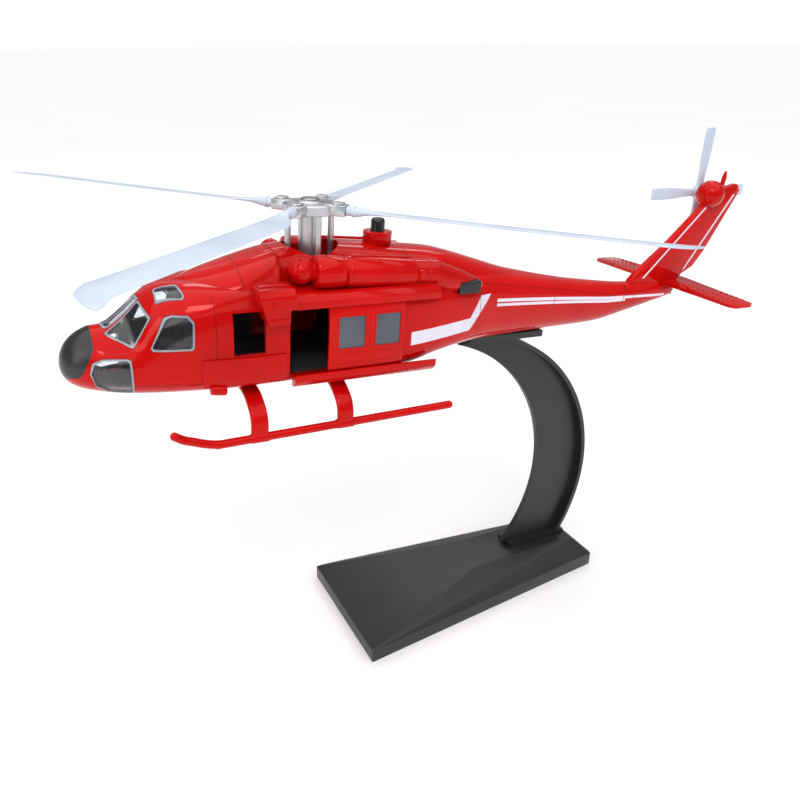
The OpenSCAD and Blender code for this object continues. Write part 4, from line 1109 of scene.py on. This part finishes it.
def blade(index, pitch, bend):
    ang, tw = math.radians(45 + 90 * index), math.radians(-pitch)
    rings = []

    def put(r, t, z):
        y, h = t * math.cos(tw) - z * math.sin(tw), t * math.sin(tw) + z * math.cos(tw)
        x, y2 = r * math.cos(ang) - y * math.sin(ang), r * math.sin(ang) + y * math.cos(ang)
        return (ROTOR_S + x, y2, ROTOR_W + h)

    turns = np.linspace(0, 2 * math.pi, 33)[:-1]
    for r, rad in ((13.5, 1.5), (14.0, 1.6), (15.4, 1.6), (15.5, 1.85), (16.5, 1.85), (16.6, 1.6), (18.4, 1.5)):
        rings.append(np.array([put(r, -rad * math.cos(q), rad * math.sin(q)) for q in turns]))
    cb, sb = math.cos(math.radians(bend)), math.sin(math.radians(bend))
    for r, lead, trail, thick in RIBS:
        rise = 0.3 * max(0, (r - 20) / (TIP - 20)) ** 2
        ring = []
        for q in turns:
            u = (1 - math.cos(q)) / 2
            full = abs(math.sin(q)) * (1 if r < 20.5 else 1 - 0.45 * u)
            across, out = lead + (trail - lead) * u, max(r - 20, 0)
            h = rise + (1 if math.sin(q) >= 0 else -0.8) * thick / 2 * full
            if r > 20:
                ring.append(put(20 + out * cb - across * sb, out * sb + across * cb, h))
            else:
                ring.append(put(r, across, h))
        rings.append(np.array(ring))
    p, f = loft_points(rings)
    return scratch("blade", outward(to_mesh("blade", flown(p), f)))


for k, (pitch, bend) in enumerate(((6, 0), (-8, -4.2), (9, 0), (4, 0))):
    finish(blade(k, pitch, bend), f"blade_{k + 1}_skin", "main_rotor", BLADE, [f"blade_{k + 1}"], 50)

# tail rotor
TS, TW = 269.5, 56.0


def at_tail(a, b, h):
    """a forward to aft, b up, h to starboard."""
    return (TS + a, h, TW + b)


def tail_blade(k):
    ang = math.radians(90 * k - 1)
    rings = []
    for r, chord, thick, h in ((1.5, 3.2, 1.9, 6.5), (4, 3.1, 1.7, 6.5), (8, 3.3, 1.3, 6.5), (12, 4.2, 1.1, 6.5),
                               (15, 4.7, 1.0, 6.5), (22, 4.9, 0.95, 6.5), (25.6, 4.9, 0.9, 6.5), (26.4, 4.4, 0.7, 6.5),
                               (26.6, 3.6, 0.4, 6.5)):
        ring = []
        for u, v in rounded(chord, thick, min(chord, thick) * 0.42, 4):
            x, z = r * math.sin(ang) + u * math.cos(ang), r * math.cos(ang) - u * math.sin(ang)
            ring.append(at_tail(x, z, h + v))
        rings.append(np.array(ring))
    p, f = loft_points(rings)
    return scratch("tail_blade", outward(to_mesh("tail_blade", flown(p), f)))


tail_hub = turned([(0.86, 5.2), (2.8, 5.2), (3.0, 5.4), (3.0, 7.5), (2.7, 7.8), (0.86, 7.8)],
                  lambda a, b, h: at_tail(a, b, h))
finish(joined([tail_blade(k) for k in range(4)] + [tail_hub]), "tail_rotor_skin", "tail_rotor_body",
       BLADE, ["tail_rotor"], 50)

# ---------------------------------------------------------------- stand
base_lo, base_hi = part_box("stand_base")
arm_lo, arm_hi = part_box("stand_arm")
BX = base_lo.x * 1000


def base_block(drop_, top, edge, height, front, rear, x0, x1, tw):
    pts = [(BX + x0, s * front, drop_) for s in (-1, 1)] + [(BX + x1, s * rear, drop_) for s in (-1, 1)]
    pts += [(BX + x0, s * front, edge) for s in (-1, 1)] + [(BX + x1, s * rear, edge) for s in (-1, 1)]
    pts += [(BX + a, s * tw, height) for a in (62.6, 115.4) for s in (-1, 1)]
    return hull_of(pts, "base", False)


stand_base = base_block(0, 0, 6.5, 14.0, 30.6, 16.1, 0, 122.8, 9.5)
bevelled(stand_base, 0.5, 3, 8)
boolean(stand_base, base_block(-1, 0, 4.5, 12.0, 28.6, 14.1, 2, 120.8, 7.5))
finish(stand_base, "stand_base_skin", "display_model", STAND, ["stand_base"], 20)

arm_parts = [cad_copy("stand_arm", 0.28, 2, 35, 1)]
finish(joined(arm_parts), "stand_arm_skin", "display_model", STAND, ["stand_arm"], 30)

# interior, fastenings and other hard plastic with eased edges
for node, body, slot, mat, width in (
    ("pilot_seat", "display_model", "seat_grey", SEAT, 0.5), ("copilot_seat", "display_model", "seat_grey", SEAT, 0.5),
    ("cabin_bench", "display_model", "seat_grey", SEAT, 0.5), ("instrument_panel", "display_model", "seat_grey", SEAT, 0.3),
    ("hub_bolts", "main_rotor", "screw_steel", STEEL, 0.1), ("roof_button", "button", "gloss_black", GLOSSY, 0.25),
    ("button_boss", "display_model", "red_paint", RED, 0.3), ("gearbox_dome", "display_model", "red_paint", RED, 0.2),
):
    finish(cad_copy(node, width), node + "_part", body, mat, [node])

# ---------------------------------------------------------------- camera, floor and light
shift = (head.x * 1000 + 58.53) + 2.49
pos = Vector((-154.5 + shift, -243.9, 231.6)) * MM
yaw, pitch_, roll = math.radians(23.68), math.radians(25.65), math.radians(-0.9)
ahead = Vector((math.sin(yaw) * math.cos(pitch_), math.cos(yaw) * math.cos(pitch_), -math.sin(pitch_)))
right = Vector((math.cos(yaw), -math.sin(yaw), 0))
upward = right.cross(ahead)
r2 = right * math.cos(roll) + upward * math.sin(roll)
u2 = upward * math.cos(roll) - right * math.sin(roll)
cam = bpy.data.cameras.new("camera")
cam.sensor_width, cam.lens = 36.0, 765.8 / 800 * 36.0
cam.shift_x, cam.shift_y = 50.3 / 800, 2.8 / 800
cam.clip_start, cam.clip_end = 0.01, 20
eye = bpy.data.objects.new("camera", cam)
bpy.context.scene.collection.objects.link(eye)
m3 = Matrix((r2, u2, -ahead)).transposed()
eye.matrix_world = Matrix.Translation(pos) @ m3.to_4x4()
bpy.context.scene.camera = eye


def floor_piece():
    me = to_mesh("floor", [(-12, -8, 0), (12, -8, 0), (12, 24, 0), (-12, 24, 0)], [(0, 1, 2, 3)])
    o = scratch("floor", me)
    f = Finish("pale_floor", Specular_IOR_Level=0.05)
    f.feed(Base_Color=f.mix(f.noise(3, 2).ramp(0.3, 0.7), (0.93, 0.93, 0.93), (0.95, 0.95, 0.95)),
           Roughness=f.noise(20, 2).ramp(0.3, 0.7, 0.7, 0.8))
    me.materials.append(f.material)


floor_piece()


def lamp(kind, name, at, aim, power, colour=(1, 1, 1), size=(1, 1)):
    d = bpy.data.lights.new(name, kind)
    d.energy, d.color = power, colour
    if kind == "AREA":
        d.shape, d.size, d.size_y = "RECTANGLE", *size
    else:
        d.angle = math.radians(100)
    o = bpy.data.objects.new(name, d)
    bpy.context.scene.collection.objects.link(o)
    o.location = at
    o.rotation_euler = (Vector(aim) - Vector(at)).to_track_quat("-Z", "Y").to_euler()


lamp("SUN", "overhead_sky", (-0.2, -0.5, 2), (0, 0, 0), 2.5, (1, 1, 1))
lamp("AREA", "key_softbox", (-0.3, -0.62, 0.95), (0, 0, 0.15), 2.0, (1, 0.985, 0.97), (0.26, 0.26))
lamp("AREA", "left_window", (-0.95, -0.3, 0.5), (-0.05, 0, 0.15), 1.2, (0.96, 0.98, 1), (0.2, 0.6))
lamp("AREA", "rear_strip", (0.45, 0.75, 0.85), (0, 0, 0.15), 1.6, (0.98, 0.99, 1), (0.9, 0.2))
world = bpy.data.worlds.new("studio")
bpy.context.scene.world = world
world.use_nodes = True
sky = world.node_tree.nodes["Background"]
sky.inputs[0].default_value = (0.97, 0.98, 1.0, 1)
path = world.node_tree.nodes.new("ShaderNodeLightPath")
lift = world.node_tree.nodes.new("ShaderNodeMath")
lift.operation = "MULTIPLY_ADD"
lift.inputs[1].default_value, lift.inputs[2].default_value = 0.75, 0.3
world.node_tree.links.new(path.outputs["Is Camera Ray"], lift.inputs[0])
world.node_tree.links.new(lift.outputs[0], sky.inputs[1])
bpy.context.scene.view_settings.view_transform = "Standard"
